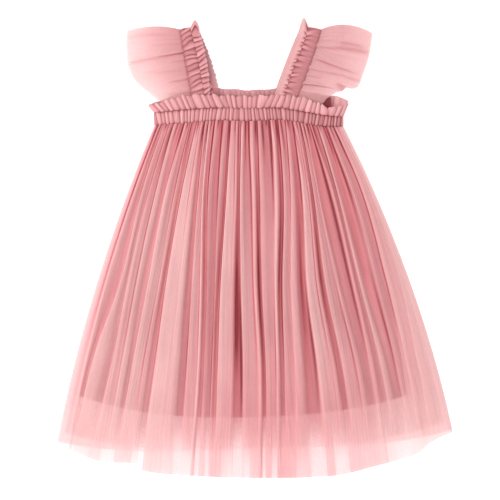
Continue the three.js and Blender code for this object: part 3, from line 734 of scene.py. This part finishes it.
def fold_columns():
    """What is the same all down a column. place is its share of the way over its strip, crowded
    towards the crest by a power. blend is how far the height has gone by then: it falls from a
    crest by half a cosine of a power, with a flat top, and rises to one by a high power, so that
    each fold's left edge is steep. apart goes from one fold's lightness to the next one's, crisp
    marks the crest's edge, which gets more plies and a painted highlight, foot the painted shadow
    as a dark line to its left, and fold numbers the folds."""
    strip = np.arange(len(FOLDS) + 1)[:, None]
    falls = strip % 2 == 1
    part = np.linspace(0, 1, FOLD_COLUMNS, endpoint=False)
    place = np.where(falls, part ** FALL_CROWDS, 1 - (1 - part) ** RISE_CROWDS)
    blend = np.where(falls, 0.5 - 0.5 * np.cos(np.pi * place ** FLAT_TOP), place ** STEEP_EDGE)
    apart = mix(np.sin(2.3 * ((strip - 1) // 2)), np.sin(2.3 * (strip // 2)), blend)
    edge = np.where(falls, np.exp(-(place / CREST_WIDTH) ** 2), ease(CREST_START, 1.0, place))
    foot = np.where(falls, 0, np.exp(-((place - FOOT_AT) / FOOT_WIDTH) ** 2))
    plies = np.array([PLIES_AT_SIDES[0]] + [fold["plies"] for fold in FOLDS])[:, None]
    columns = {
        "apart": for_columns(apart, 0),
        "crisp": for_columns((0.55 + 0.45 * apart) * edge, 0),
        "foot": for_columns(foot, 0),
        "plies": for_columns(plies, PLIES_AT_SIDES[1]),
        "fold": for_columns(strip // 2, 0),
    }
    return place, blend, columns


def gather_slits(u, v):
    """1 in the middle of each slit between two gathers and 0 on the gathers, in turns of a sine,
    fading down the skirt at a length that differs from slit to slit."""
    turns = GATHERS * (u + 0.01 * np.sin(41 * u))
    length = mix(*GATHER_LENGTH, 0.5 + 0.5 * np.sin(3.7 * np.floor(turns + 0.5)))
    return (1 - np.abs(np.sin(np.pi * turns)) ** 0.7) * ease(length, 0.0, v)


def fine_relief(u, v, slit):
    """Two sines whose turns wander as they run down, and the gathers' puff between their slits."""
    crease = np.sin(2 * np.pi * (97 * u + 1.6 * np.sin(3.1 * v + 21 * u)))
    crease = crease + 0.7 * np.sin(2 * np.pi * (171 * u + 2.3 * np.sin(2.2 * v + 13 * u)) + 4 * v)
    fine = FINE_CREASE * crease * ease(0, 0.1, v) * side_taper(u)
    fine = fine + GATHER_PUFF * (ease(0.3, 0.05, v) - slit) * ease(0, 0.02, v)
    return np.maximum(fine, DEEPEST_CREASE)


def front_plies(u, v, level, alone, columns):
    """Plies of net. Over the lining they follow the folds, and where the net lies alone the hem's
    own plies. There are more along the crests and over the underskirt's hem."""
    valley = (1 - read(SHADE, "valley", u)) * ease(0.15, 0.0, level)
    in_body = PLIES_FLAT + PLIES_ON_TOP * ease(0.3, 0.85, level) + PLIES_IN_VALLEY * valley
    in_body = in_body + PLIES_AT_CREST * columns["crisp"]
    at_hem = columns["plies"] + PLIES_AT_CREST_ALONE * columns["crisp"]
    dense = within(0.55, 0.75, 0.86, 0.98, v) * ease(0.14, 0.4, level)
    return (mix(in_body, at_hem, alone) + PLIES_OVER_HEM * dense) * gathered(v)


def front_painted_shading(u, v, level, alone, slit, columns):
    """How light the net lies, in painted light and shade: from the valley's tone to the crest's as the
    square root of the height, a painted highlight on crisp crests, and painted shade near the band at
    the left and at the right, in the slits and as a painted shadow at the feet of the crests. Net that
    lies alone has a tone of its own."""
    free = read(SHADE, "free", u)
    lit = np.clip(level / FULL_LIGHT, 0, 1) ** 0.5
    tone = mix(read(SHADE, "valley", u), read(SHADE, "crest", u), lit)
    tone = tone + CREST_HIGHLIGHT * columns["crisp"] + FOLDS_APART * columns["apart"]
    # Painted shade near the band at the left and at the right.
    tone = tone - mix(LEFT_SHADE, 0.0, ease(0.15, 0.4, u)) * ease(0.4, 0.05, v)
    tone = tone - RIGHT_SHADE * ease(0.5, 0.8, u) * ease(0.6, 0.1, v)
    tone = mix(tone, 0.9 * free, 0.35 * ease(0.55, 0.8, v))
    # Painted shade in the slits, and painted shadow at the crests' feet, deeper where a fold opens.
    opens = ease(0.3, 0.9, 0.5 + 0.5 * np.sin(2.1 * columns["fold"] + 4.3 * v)) * ease(0.9, 0.6, v)
    foot = mix(FOOT_SHADE, FOOT_SHADE_BODY + FOOT_SHADE_OPEN * opens, ease(0.1, 0.4, v))
    tone = mix(tone, SLIT_SHADE, SLIT_SHARE * slit) - foot * columns["foot"]
    return mix(tone, free + 0.25 * (level - 0.3), alone)


def skirt_front():
    """The skirt's plan, with the folds' own columns across it and v down to the uneven hem. The
    folds stand on what lies below, and the first row is sewn into the band."""
    down = np.linspace(0, 1, SKIRT_ROWS) ** ROWS_CROWD
    lines, heights = fold_lines(down)
    place, blend, columns = fold_columns()
    u = across_folds(lines, place)
    level = across_folds(heights, blend)
    hem_y = read(HEM, "y", u[-1])
    reach = (waist_line(u[-1]) - hem_y) / (waist_line(u[-1]) - hem_line(u[-1]))
    v = down[:, None] * reach[None, :]
    x, y = skirt_plan(u, v)
    slit = gather_slits(u, v)
    below = pile([SKIRT_BACK, LINING_BACK, LINING_FRONT, UNDERSKIRT], u, v)
    folds = through(LEVELS, FULL_HEIGHTS, v) * level
    into_band = SEWN_IN * ease(0.006, 0, v)
    points = np.stack([x, y, below + WALL / 2 + folds + fine_relief(u, v, slit) - into_band], -1)
    at_sides = np.maximum(ease(mix(0.012, 0.05, v), 0.0, u), ease(0.94, 1.0, u))
    alone = np.maximum(ease(*LINING_SEEN, v), at_sides)
    marks = {
        "cover": net_cover(points, front_plies(u, v, level, alone, columns)),
        "tone": front_painted_shading(u, v, level, alone, slit, columns),
    }
    material = net_material("front_net", SKIRT_SHADES)
    return grid_piece("skirt_front_net", points, NET_CUT, material, marks, turned=True)


lay(skirt_front(), "skirt_front")


# The chest band
# Net and lining gathered together over a flat elastic, front and back, with a row of stitching
# along each edge of the casing. The cloth puffs between the rows in small uneven puckers.

BAND_FRONT_Z = 3.9
BAND_BACK_Z = 1.0
BAND_PUCKERS = 47
BAND_WRINKLES = 119
BAND_PUFF = 2.9
BAND_BACK_PUFF = 0.6
STITCH_WIDTH = 0.13
BAND_WALL = 0.9
SIDE_OPENING = (0.8, 0.93)
SIDE_OPENING_LIFT = 4.5
BAND_CUT = (560.0, 17.0)
# The band's colours, from painted shade in its creases to painted light on its puckers.
BAND_SHADES = [(0.0, (0.24, 0.05, 0.06)), (0.5, (0.6, 0.25, 0.265)), (1.0, (0.87, 0.47, 0.48))]


def gathered_material(name):
    """Net over knit, gathered close: opaque, with painted light on each pucker and painted shade in the
    creases between, with fine streaks across the band and the net's mesh as bump."""
    material, tree = new_material(name)
    tone = mark_of(tree, "tone")
    _, holes, streaks = of_net(tree, (700.0, 40.0, 1.0))
    shade = add_node(tree, "ValToRGB", {"stops": BAND_SHADES}, Fac=tone + streaks * 0.5 - 0.25)
    bump = add_node(tree, "Bump", {}, Height=holes, Strength=0.3, Distance=0.0002)
    return finish_material(
        material, Base_Color=shade, Roughness=0.85, Normal=bump, Specular_IOR_Level=0.2,
        Sheen_Weight=0.12,
    )


def band_x(q):
    """X at the share q of the band's length."""
    return mix(BAND_LEFT, BAND_RIGHT, q)


def open_end(q):
    """The chest stands open at its right end, where the front lifts off the back."""
    return ease(*SIDE_OPENING, q)


def uneven(q, count, seed):
    """Turns of puckers along a strip, closer here and wider there."""
    return count * (q + 0.008 * np.sin(19 * q + seed) + 0.005 * np.sin(57 * q + 2 * seed))


def puckers(turns):
    """Rolled puckers between 0 and 1: each rises fast from a sharp crease, is round on top and
    falls slowly to the next crease, and neighbours differ in height."""
    part = turns % 1
    rolled = np.minimum(part / 0.32, (1 - part) / 0.68)
    return np.sin(np.pi / 2 * rolled) ** 0.8 * (0.8 + 0.2 * np.sin(2.4 * np.floor(turns)))


def gathers(q, s, count, seed):
    """Puckers between 0 and 1 along a strip that run nearly straight across it."""
    return puckers(uneven(q, count, seed) + 0.5 * (s - 0.5) * np.sin(11 * q + seed))


def wrinkles(q, s, count, seed):
    """Fine puckers between 0 and 1 that start at either edge of a strip, and die out where they
    meet the others half way."""
    lower = puckers(uneven(q, count, seed))
    upper = puckers(uneven(q, 0.87 * count, seed + 1.3))
    return mix(lower, upper, ease(0.2, 0.8, s))


def strip_grid(columns, across):
    """q along a strip and s across it, as grids."""
    return np.meshgrid(np.linspace(0, 1, columns), across)


def band(name, columns, base, puff_height, lift):
    """The casing: puckers across, pulled in to the elastic along both rows of stitching, where the
    creases between them end in small pits. Its tone is painted light and shade: lit puckers, shaded
    creases and pits, and a band painted lighter towards its left end, under the softbox."""
    q, s = strip_grid(columns, np.linspace(0, 1, 19))
    pucker = gathers(q, s, BAND_PUCKERS, seed=1.3)
    wrinkle = wrinkles(q, s, BAND_WRINKLES, seed=0.4)
    held = np.sin(np.pi * np.clip(s, 0.03, 0.97)) ** 0.55
    stitched = np.exp(-(np.minimum(s, 1 - s) / STITCH_WIDTH) ** 2)
    scallop = (s - 0.5) * 1.6 * (pucker - 0.6)
    y = mix(read(CHEST, "low", q) - 0.2, read(CHEST, "high", q) + 0.2, s) + scallop
    z = base + lift * open_end(q) + held * (puff_height * (0.4 + 0.6 * pucker) + 0.35 * wrinkle)
    # Painted light on the puckers, painted shade in the creases, lighter towards the left end.
    tone = (0.2 + 0.64 * pucker) * (0.64 + 0.54 * wrinkle) + 0.3 * (0.45 - q)
    # Painted shade in the pits where the creases meet the stitching.
    tone = tone * (1 - stitched * (0.7 - 0.7 * pucker))
    points = np.stack([band_x(q), y, z], -1)
    return grid_piece(name, points, BAND_CUT, gathered_material(name), {"tone": tone}, BAND_WALL)


band_front = band("band_front_gathers", 1000, BAND_FRONT_Z, BAND_PUFF, 0.5 * SIDE_OPENING_LIFT)
band_back = band("band_back_gathers", 500, BAND_BACK_Z, BAND_BACK_PUFF, lift=0.0)
lay(band_front, "band_front")
lay(band_back, "band_back")


# The frills above the band
# The gathered cloth goes on above the casing as a ruffle of doubled net, whose folded upper edge
# stands free. The loops are close and upright in front; the back frill lies behind them.

FRILL_LOOPS = {"front": 34, "back": 37}
FRILL_WRINKLES = 97
FRILL_FLARE = 6.5
FRILL_FRONT_Z = 3.7
FRILL_OVER_STRAP = 2.7
LOOP_HEIGHT = (1.0, 2.6)
# How far the painted shade of the pits at a seam reaches across a frill or strap.
PIT_SHADE_WIDTH = 0.16
FRILL_CUT = (560.0, 20.0)

# Doubled net with nothing dark behind it is paler than on the skirt. The dark end is painted shade
# for pits, creases and the open end's inside.
FRILL_SHADES = [
    (0.0, (0.26, 0.055, 0.065)),
    (0.3, (0.59, 0.245, 0.265)),
    (0.65, (0.78, 0.4, 0.415)),
    (1.0, (0.88, 0.53, 0.515)),
]

# The inside of the open end, painted dark and opaque as shade: its sides as X, its top as Y and
# where the frill is painted lit again.
SHADED_INSIDE_X = (72, 75, 83, 86)
SHADED_INSIDE_TOP = (170, 167)
LIT_AGAIN = (86, 92)

# Where a strap's foot starts to lift the frill, lifts it fully, lets it down and has left it, as X.
STRAP_FEET = [(-112, -104, -38, -30), (6, 15, 88, 96)]


def over_strap(x):
    """How much of a strap lies under the front frill at x."""
    return sum(within(*foot, x) for foot in STRAP_FEET)


def frill_foot(q, s):
    """A frill's x, flared a little past the band's ends, and the y of its seam above the band."""
    return band_x(q) + s * FRILL_FLARE * (2 * q - 1), read(CHEST, "high", q) + GAP


def frill_front():
    """Close gathers at the stitching that open into broader loops at the free edge. Those at the left
    end lean outwards. The tone is painted light and shade: lit loops, shaded slits and pits at the
    seam, and painted light that makes the loops at the right, round the open end, the lightest, and
    those at the left end lighter too. The first row stays at the stitching's height, and the second
    stands over it where a strap's foot is below."""
    q, s = strip_grid(1300, np.append(0, np.linspace(0, 1, 18)))
    raised = np.append(0, np.ones(18))[:, None]
    lean = (0.02 * ease(0.36, 0.0, q) + 0.006 * np.sin(37 * q + 0.6) * ease(0.25, 0.6, q)) * s
    loop = gathers(q + lean, s, FRILL_LOOPS["front"], seed=4.1)
    wrinkle = wrinkles(q + lean, s, FRILL_WRINKLES, seed=2.2)
    x, foot = frill_foot(q, s)
    top = read(CHEST, "front", q) + 2.0 * (loop - 0.6) + 0.7 * np.sin(83 * q) + 0.6 * (wrinkle - 0.5)
    base = FRILL_FRONT_Z + raised * FRILL_OVER_STRAP * over_strap(x)
    base = base + SIDE_OPENING_LIFT * open_end(q) * mix(0.5, 1, s)
    height = mix(*LOOP_HEIGHT, ease(0, 0.5, s)) * (0.8 + 0.2 * np.sin(47 * q))
    points = np.stack([x, mix(foot, top, s), base + 0.2 + height * loop + 0.35 * wrinkle * s], -1)
    # Painted shade in the pits between the loops at the seam.
    pit = np.exp(-(s / PIT_SHADE_WIDTH) ** 2) * (0.8 - 0.75 * loop)
    # Painted light: loops lit, slits shaded, loops lighter at the left end and round the open end.
    light = 0.1 * ease(0.3, 0.1, q) + 0.16 * ease(0.62, 0.85, q)
    tone = mix(0.14, 0.62, loop) * (0.6 + 0.56 * wrinkle) + 0.1 * s + light * loop
    marks = {"cover": mix(0.99, 0.86, ease(0.55, 1, s)), "tone": tone * (1 - pit)}
    material = net_material("frill_front", FRILL_SHADES)
    return grid_piece("frill_front_loops", points, FRILL_CUT, material, marks)


def frill_back():
    """The same loops flattened under the dress, in painted shade. The inside of the open right end is
    painted dark and opaque as shade above the front frill's edge, and the frill is painted lighter
    again where it goes on past it."""
    q, s = strip_grid(760, np.linspace(0, 1, 16))
    loop = gathers(q, s, FRILL_LOOPS["back"], seed=2.6)
    x, foot = frill_foot(q, s)
    top = read(CHEST, "back", q) + 1.2 + 0.6 * (loop - 0.6) + 0.4 * np.sin(61 * q)
    y = mix(foot, top, s)
    # Painted shade: the open end's inside is made dark and opaque.
    inside = within(*SHADED_INSIDE_X, x) * ease(*SHADED_INSIDE_TOP, y)
    # Painted shade on the back frill, lighter again past the open end.
    tone = mix(mix(0.06, 0.26, loop) + 0.1 * s, mix(0.3, 0.7, loop), ease(*LIT_AGAIN, x))
    marks = {"cover": mix(mix(0.97, 0.8, ease(0.3, 1, s)), 1.0, inside), "tone": mix(tone, -0.1, inside)}
    points = np.stack([x, y, 0.6 + 0.8 * s * loop], -1)
    material = net_material("frill_back", FRILL_SHADES)
    return grid_piece("frill_back_loops", points, FRILL_CUT, material, marks)


lay(frill_front(), "frill_front")
lay(frill_back(), "frill_back")


# The straps
# A wide elastic strap on each side, covered like the band and gathered the same way. It is folded
# at the shoulder, and its back half lies under the front one.

SHOULDER_Y = 243.6
SEAM_DIP = 2.6
STRAP_FRONT_Z = 4.7
STRAP_BACK_ROOT_Z = 2.6
STRAP_BACK_Z = 0.5
BACK_SETTLES = (178, 194)
CHEST_CLEARED = (171, 184)
STRAP_PUCKERS = 15
STRAP_WRINKLES = 43
# How far the painted shade of the sleeve seam's groove reaches across a strap.
GROOVE_SHADE_WIDTH = 0.14
PUCKER_SHARE = 1 / 18
STRIP_GAP = 0.5
STRAP_WALL = 0.5
STRAP_CUT = (380.0, 19.0)
STRAP_LEFT = named_rows(
    "at sleeve neck frill",
    (0.0, -67.9, -53.6, -48.1),
    (0.2, -70.7, -56.2, -49.2),
    (0.42, -73.9, -59.8, -50.6),
    (0.7, -78.2, -64.6, -54.7),
    (1.0, -82.5, -71.2, -61.8),
)
STRAP_RIGHT = named_rows(
    "at sleeve neck frill",
    (0.0, 42.1, 27.8, 16.8),
    (0.2, 48.7, 33.8, 22.8),
    (0.5, 58.4, 42.8, 31.9),
    (0.81, 68.0, 53.8, 42.1),
    (1.0, 72.9, 59.3, 49.3),
)

# Which way each strap's sleeve points, how far its back half lies to the right of its front one at
# the band, how many puckers its gathers rise towards the neck, and where across it they grow sharp.
STRAPS = {
    "left": dict(sections=STRAP_LEFT, outward=-1, back_shift=13.0, rise=0.8, smooth=(-0.5, 0.7), seed=0.9),
    "right": dict(sections=STRAP_RIGHT, outward=1, back_shift=-1.0, rise=0.1, smooth=(0.3, 0.95), seed=3.3),
}


def leaves(rows, front, fold, back):
    """A strip that runs up the front, round the shoulder and down the back: as grids, the share of
    the way up, of the turn round the fold and of the way across."""
    up = np.concatenate([np.linspace(0, 1, front), np.ones(fold), np.linspace(1, 0, back)])
    turn = np.concatenate([np.zeros(front), np.linspace(0, 1, fold + 2)[1:-1], np.ones(back)])
    up, share = np.meshgrid(up, np.linspace(0, 1, rows))
    return up, np.broadcast_to(turn, up.shape), share


def root_of(x):
    """Where a strap or sleeve starts at x, just above the band."""
    return read(CHEST, "high", np.clip((x - BAND_LEFT) / (BAND_RIGHT - BAND_LEFT), 0, 1)) + GAP


def clear_of_chest(y):
    """0 where the chest's frill lies on a piece and 1 past it."""
    return ease(*CHEST_CLEARED, y)


def over_shoulder(x, y, turn, front):
    """A point on a piece that is folded at the shoulder: half a turn of a small circle carries it
    from its front height to its height at the back, which is down on the table past the frill."""
    back = mix(STRAP_BACK_ROOT_Z, STRAP_BACK_Z, ease(*BACK_SETTLES, y))
    radius = (front - back) / 2
    angle = np.pi * turn
    return np.stack([x, y + radius * np.sin(angle), back + radius * (1 + np.cos(angle))], -1)


def back_beside(side, up, turn):
    """How far the back half lies beside the front one: nothing at the shoulder, most at the band."""
    return STRAPS[side]["back_shift"] * (1 - up) * (turn == 1)


def strap(side):
    """A gathered strip between two seams: puckers that are sharp at the seam of the neck frill and
    die away towards the sleeve, whose seam lies in a soft groove. Its tone is painted light and
    shade: lit puckers, and painted shade in the groove and in pits at the neck frill's seam."""
    shape = STRAPS[side]
    outward = shape["outward"]
    up, turn, share = leaves(rows=30, front=320, fold=14, back=120)
    reach = outward * STRIP_GAP * 0.9
    edges = read(shape["sections"], "sleeve", up) + reach, read(shape["sections"], "neck", up) - reach
    x = mix(*edges, share) + back_beside(side, up, turn)
    y = mix(root_of(x), SHOULDER_Y - SEAM_DIP * (1 - share) ** 2, up)
    leaning = up - shape["rise"] * share * PUCKER_SHARE + 0.006 * np.sin(25 * up + 3 * share)
    pucker = gathers(leaning, share, STRAP_PUCKERS, shape["seed"])
    wrinkle = wrinkles(leaning, share, STRAP_WRINKLES, shape["seed"])
    sharp = ease(*shape["smooth"], share)
    held = np.sin(np.pi * np.clip(share, 0.04, 0.96)) ** 0.6
    swell = held * (mix(0.75, 0.2 + 0.8 * pucker, sharp) + 0.2 * wrinkle)
    front = STRAP_FRONT_Z + 1.6 * swell * clear_of_chest(y) * (turn == 0)
    # The groove and the pits are painted shade in the tone.
    groove = np.exp(-(share / GROOVE_SHADE_WIDTH) ** 2)
    pit = np.exp(-((1 - share) / PIT_SHADE_WIDTH) ** 2) * (0.85 - 0.85 * pucker)
    tone = mix(0.4, 0.04 + 0.72 * pucker, sharp) * (0.82 + 0.28 * wrinkle)
    marks = {"tone": tone * (1 - 0.5 * groove) * (1 - pit)}
    points = over_shoulder(x, y, turn, front)
    name, material = f"strap_{side}_gathers", gathered_material(f"strap_{side}")
    return grid_piece(name, points, STRAP_CUT, material, marks, STRAP_WALL, turned=outward < 0)


for side in STRAPS:
    lay(strap(side), f"strap_{side}")


# The frills along the neck
# A narrow ruffle of doubled net along the neck edge of each strap, gathered tight into the seam.
# It runs over the shoulder, where it stands up in a small point, and down the back strap.

FRILL_TIP_START = 0.9
NECK_WRINKLES = 53
# The painted shade of the back half of a neck frill.
BACK_FRILL_SHADE = 0.2
NECK_FRILL_CUT = (400.0, 14.0)

# The left ruffle stands up in full loops; the right one lies flat and pale past its creased seam.
# tip is how far it stands above the shoulder, and creased where across it the creases have faded.
NECK_FRILLS = {
    "left": dict(loops=17, creased=(2.2, 0.4), edge_cover=0.85, tones=(0.35, 0.8), tip=8.0, scallop=1.6),
    "right": dict(loops=19, creased=(0.5, 0.05), edge_cover=0.55, tones=(0.6, 0.9), tip=11.0, scallop=0.4),
}


def neck_frill(side):
    """Loops from the seam to the free edge, whose creases are deep at the seam and fade outwards,
    with painted light on the loops and painted shade in the creases.
    The back half is plain and lies in the shade of the front one."""
    shape, frill = STRAPS[side], NECK_FRILLS[side]
    outward = shape["outward"]
    up, turn, share = leaves(rows=20, front=440, fold=14, back=150)
    leaning = up - shape["rise"] * share * PUCKER_SHARE + 0.006 * share * np.sin(9 * up + 1)
    loop = gathers(leaning, share, frill["loops"], 5 - shape["seed"])
    wrinkle = wrinkles(leaning, share, NECK_WRINKLES, shape["seed"])
    creased = ease(*frill["creased"], share)
    seam = read(shape["sections"], "neck", up) - outward * STRIP_GAP
    edge = read(shape["sections"], "frill", up) + outward * frill["scallop"] * (0.6 - loop)
    x = mix(seam, edge, share) + back_beside(side, up, turn)
    peak = frill["tip"] * (1 - np.abs(2 * share - 1) ** 1.5) * ease(FRILL_TIP_START, 1, up)
    y = mix(root_of(x), SHOULDER_Y, up) + peak
    swell = mix(0.9, 1.6, share) * mix(0.6, 0.1 + 0.8 * loop + 0.1 * wrinkle, creased)
    front = STRAP_FRONT_Z + swell * clear_of_chest(y) * (turn == 0)
    plain = mix(*frill["tones"], share) + 0.2 * ease(0.86, 0.96, up)
    # Painted light on the loops and painted shade in the creases.
    tone = mix(plain, mix(-0.1, 0.68, loop) * (0.74 + 0.36 * wrinkle), creased)
    cover = mix(0.98, frill["edge_cover"], ease(0.1, 1, share))
    marks = {
        # The back half gets a painted shade.
        "tone": np.where(turn == 1, BACK_FRILL_SHADE, tone),
        "cover": np.where(turn == 1, mix(0.9, 0.7, share), cover),
    }
    points = over_shoulder(x, y, turn, front)
    name, material = f"strap_frill_{side}_loops", net_material(f"strap_frill_{side}", FRILL_SHADES)
    return grid_piece(name, points, NECK_FRILL_CUT, material, marks, turned=outward < 0)


for side in STRAPS:
    node = f"strap_frill_{side}"
    lay(neck_frill(side), node)


# The flutter sleeves
# A half-moon of doubled net gathered into the outer edge of each strap, open at the underarm and
# folded over at the shoulder. Light comes through near its free edge; creases fan from the seam.

SLEEVE_START = 0.13
SLEEVE_TUCK = 0.9
SLEEVE_SINK = 1.3
SLEEVE_SINKS = (172, 192)
CREASE_HEIGHT = 2.2
CREASE_SHADE = 0.4
BACK_SLEEVE_TONE = 0.75
SLEEVE_CUT = (200.0, 62.0)

# Each sleeve's free edge from the underarm to the shoulder, how far its shoulder fold bows up, how
# strongly it fans, the cover and tone of its net at the seam and at the free edge, and its
# creases from one place to another, both as shares of the way out and of the way up.
SLEEVES = {
    "left": {
        "edge": named_rows(
            "at x y",
            (0.0, -93.2, 158.8),
            (0.15, -106.4, 164.6),
            (0.3, -119.6, 173.9),
            (0.45, -132.1, 185.2),
            (0.6, -139.2, 199.2),
            (0.8, -142.4, 219.6),
            (1.0, -142.0, 240.6),
        ),
        "top": 3.2,
        "fan": 0.3,
        "cover": (0.72, 0.36),
        "tone": (0.27, 0.88),
        "creases": named_rows(
            "start end deep wide",
            ((0.0, 0.667), (0.5, 0.676), 0.9, 0.012),
            ((0.35, 0.678), (1.0, 0.672), 0.45, 0.02),
            ((0.15, 0.45), (0.75, 0.53), 0.2, 0.025),
            ((0.0, 0.29), (0.45, 0.335), 0.4, 0.016),
            ((0.0, 0.105), (0.7, 0.193), 0.5, 0.022),
            ((0.0, 0.56), (0.3, 0.585), 0.25, 0.016),
            ((0.25, 0.93), (1.0, 0.945), 0.25, 0.02),
            ((0.0, 0.8), (0.6, 0.83), 0.15, 0.025),
        ),
    },
    "right": {
        "edge": named_rows(
            "at x y",
            (0.0, 74.0, 159.8),
            (0.13, 80.6, 167.6),
            (0.26, 90.4, 173.8),
            (0.33, 96.6, 175.2),
            (0.38, 101.4, 179.4),
            (0.43, 106.2, 177.6),
            (0.52, 113.6, 179.8),
            (0.68, 119.8, 194.4),
            (0.84, 125.8, 212.6),
            (1.0, 130.1, 237.8),
        ),
        "top": 6.4,
        "fan": 1.0,
        "cover": (0.62, 0.46),
        "tone": (0.42, 0.72),
        "creases": named_rows(
            "start end deep wide",
            ((0.45, 0.876), (0.88, 0.893), 0.7, 0.014),
            ((0.0, 0.77), (0.45, 0.833), 0.5, 0.016),
            ((0.4, 0.835), (1.0, 0.878), 0.6, 0.018),
            ((0.1, 0.62), (0.85, 0.652), 0.85, 0.013),
            ((0.5, 0.56), (1.0, 0.6), 0.5, 0.018),
            ((0.0, 0.46), (0.65, 0.57), 0.5, 0.014),
            ((0.0, 0.36), (0.4, 0.41), 0.35, 0.014),
            ((0.0, 0.23), (0.75, 0.31), 1.0, 0.012),
            ((0.0, 0.08), (0.6, 0.15), 0.4, 0.022),
            ((1.1, 0.34), (0.7, 0.44), 0.8, 0.04),
        ),
    },
}


def sleeve_creases(up, share, creases):
    """A crease is a lip of cloth over a straight line: it rises steeply at the line and falls away
    slowly above it. Gives its height and the shade under the lip, both fading at its ends."""
    height = np.zeros_like(up)
    shade = np.zeros_like(up)
    for crease in creases:
        (share_0, up_0), (share_1, up_1) = crease["start"], crease["end"]
        way = (share - share_0) / (share_1 - share_0)
        away = (up - mix(up_0, up_1, way)) / crease["wide"]
        here = within(-0.2, 0.1, 0.7, 1.2, way) * crease["deep"]
        height = np.maximum(height, here * within(-1, 0, 0, 5, away))
        shade = np.maximum(shade, here * np.exp(-(away + 0.4) ** 2))
    return height, shade


def sleeve(side):
    """A strip from the underarm to the shoulder, round it and back, whose rows run from the seam to
    the free edge: gathered at the seam, with a few lips of cloth that fan out from it. Its tone has
    a painted highlight on the lips, painted shade under them, and painted light on the fan and the
    gathers."""
    strap_shape, shape = STRAPS[side], SLEEVES[side]
    outward = strap_shape["outward"]
    up, turn, share = leaves(rows=70, front=260, fold=14, back=90)
    lift = mix(SLEEVE_START, 1, up)
    seam_x = read(strap_shape["sections"], "sleeve", lift) + outward * (STRIP_GAP - SLEEVE_TUCK)
    seam_x = seam_x + back_beside(side, lift, turn)
    bow = (shape["top"] * 4 * share * (1 - share) - SEAM_DIP * (1 - share) ** 3) * ease(0.75, 1, up)
    x = mix(seam_x, read(shape["edge"], "x", up), share)
    y = mix(mix(root_of(seam_x), SHOULDER_Y, lift), read(shape["edge"], "y", up), share) + bow
    height, shade = sleeve_creases(up, share, shape["creases"])
    fan = puckers(9 * up + 1.4 * share * np.sin(5 * up) + 0.5 * np.sin(23 * up))
    gather = gathers(up, share, count=24, seed=1.7) * ease(0.5, 0.0, share)
    free = clear_of_chest(y) * ease(1, 0.93, up) * (turn == 0)
    sink = SLEEVE_SINK * share * ease(*SLEEVE_SINKS, y) + 0.5 * ease(0.03, 0.0, share)
    form = CREASE_HEIGHT * height + shape["fan"] * (0.5 * fan * share + 0.3 * gather)
    points = over_shoulder(x, y, turn, STRAP_FRONT_Z - sink + free * form)
    # Painted highlight on the lips and painted shade under them.
    tone = mix(*shape["tone"], share ** 0.7) + 0.12 * height - CREASE_SHADE * shade
    # Painted light on the fan's ridges and on the gathers.
    tone = tone + shape["fan"] * (0.1 * (fan - 0.6) * ease(0, 0.3, share) + 0.15 * gather)
    # Under the lips the painted shade is also made more opaque.
    cover = mix(*shape["cover"], ease(0, 1, share)) * mix(1, 0.8, ease(0.94, 1, share)) + 0.3 * shade
    marks = {"cover": cover, "tone": np.where(turn == 1, BACK_SLEEVE_TONE, tone)}
    name, material = f"sleeve_{side}_net", net_material(f"sleeve_{side}", FRILL_SHADES)
    return grid_piece(name, points, SLEEVE_CUT, material, marks, turned=outward > 0)


for side in STRAPS:
    lay(sleeve(side), f"sleeve_{side}")
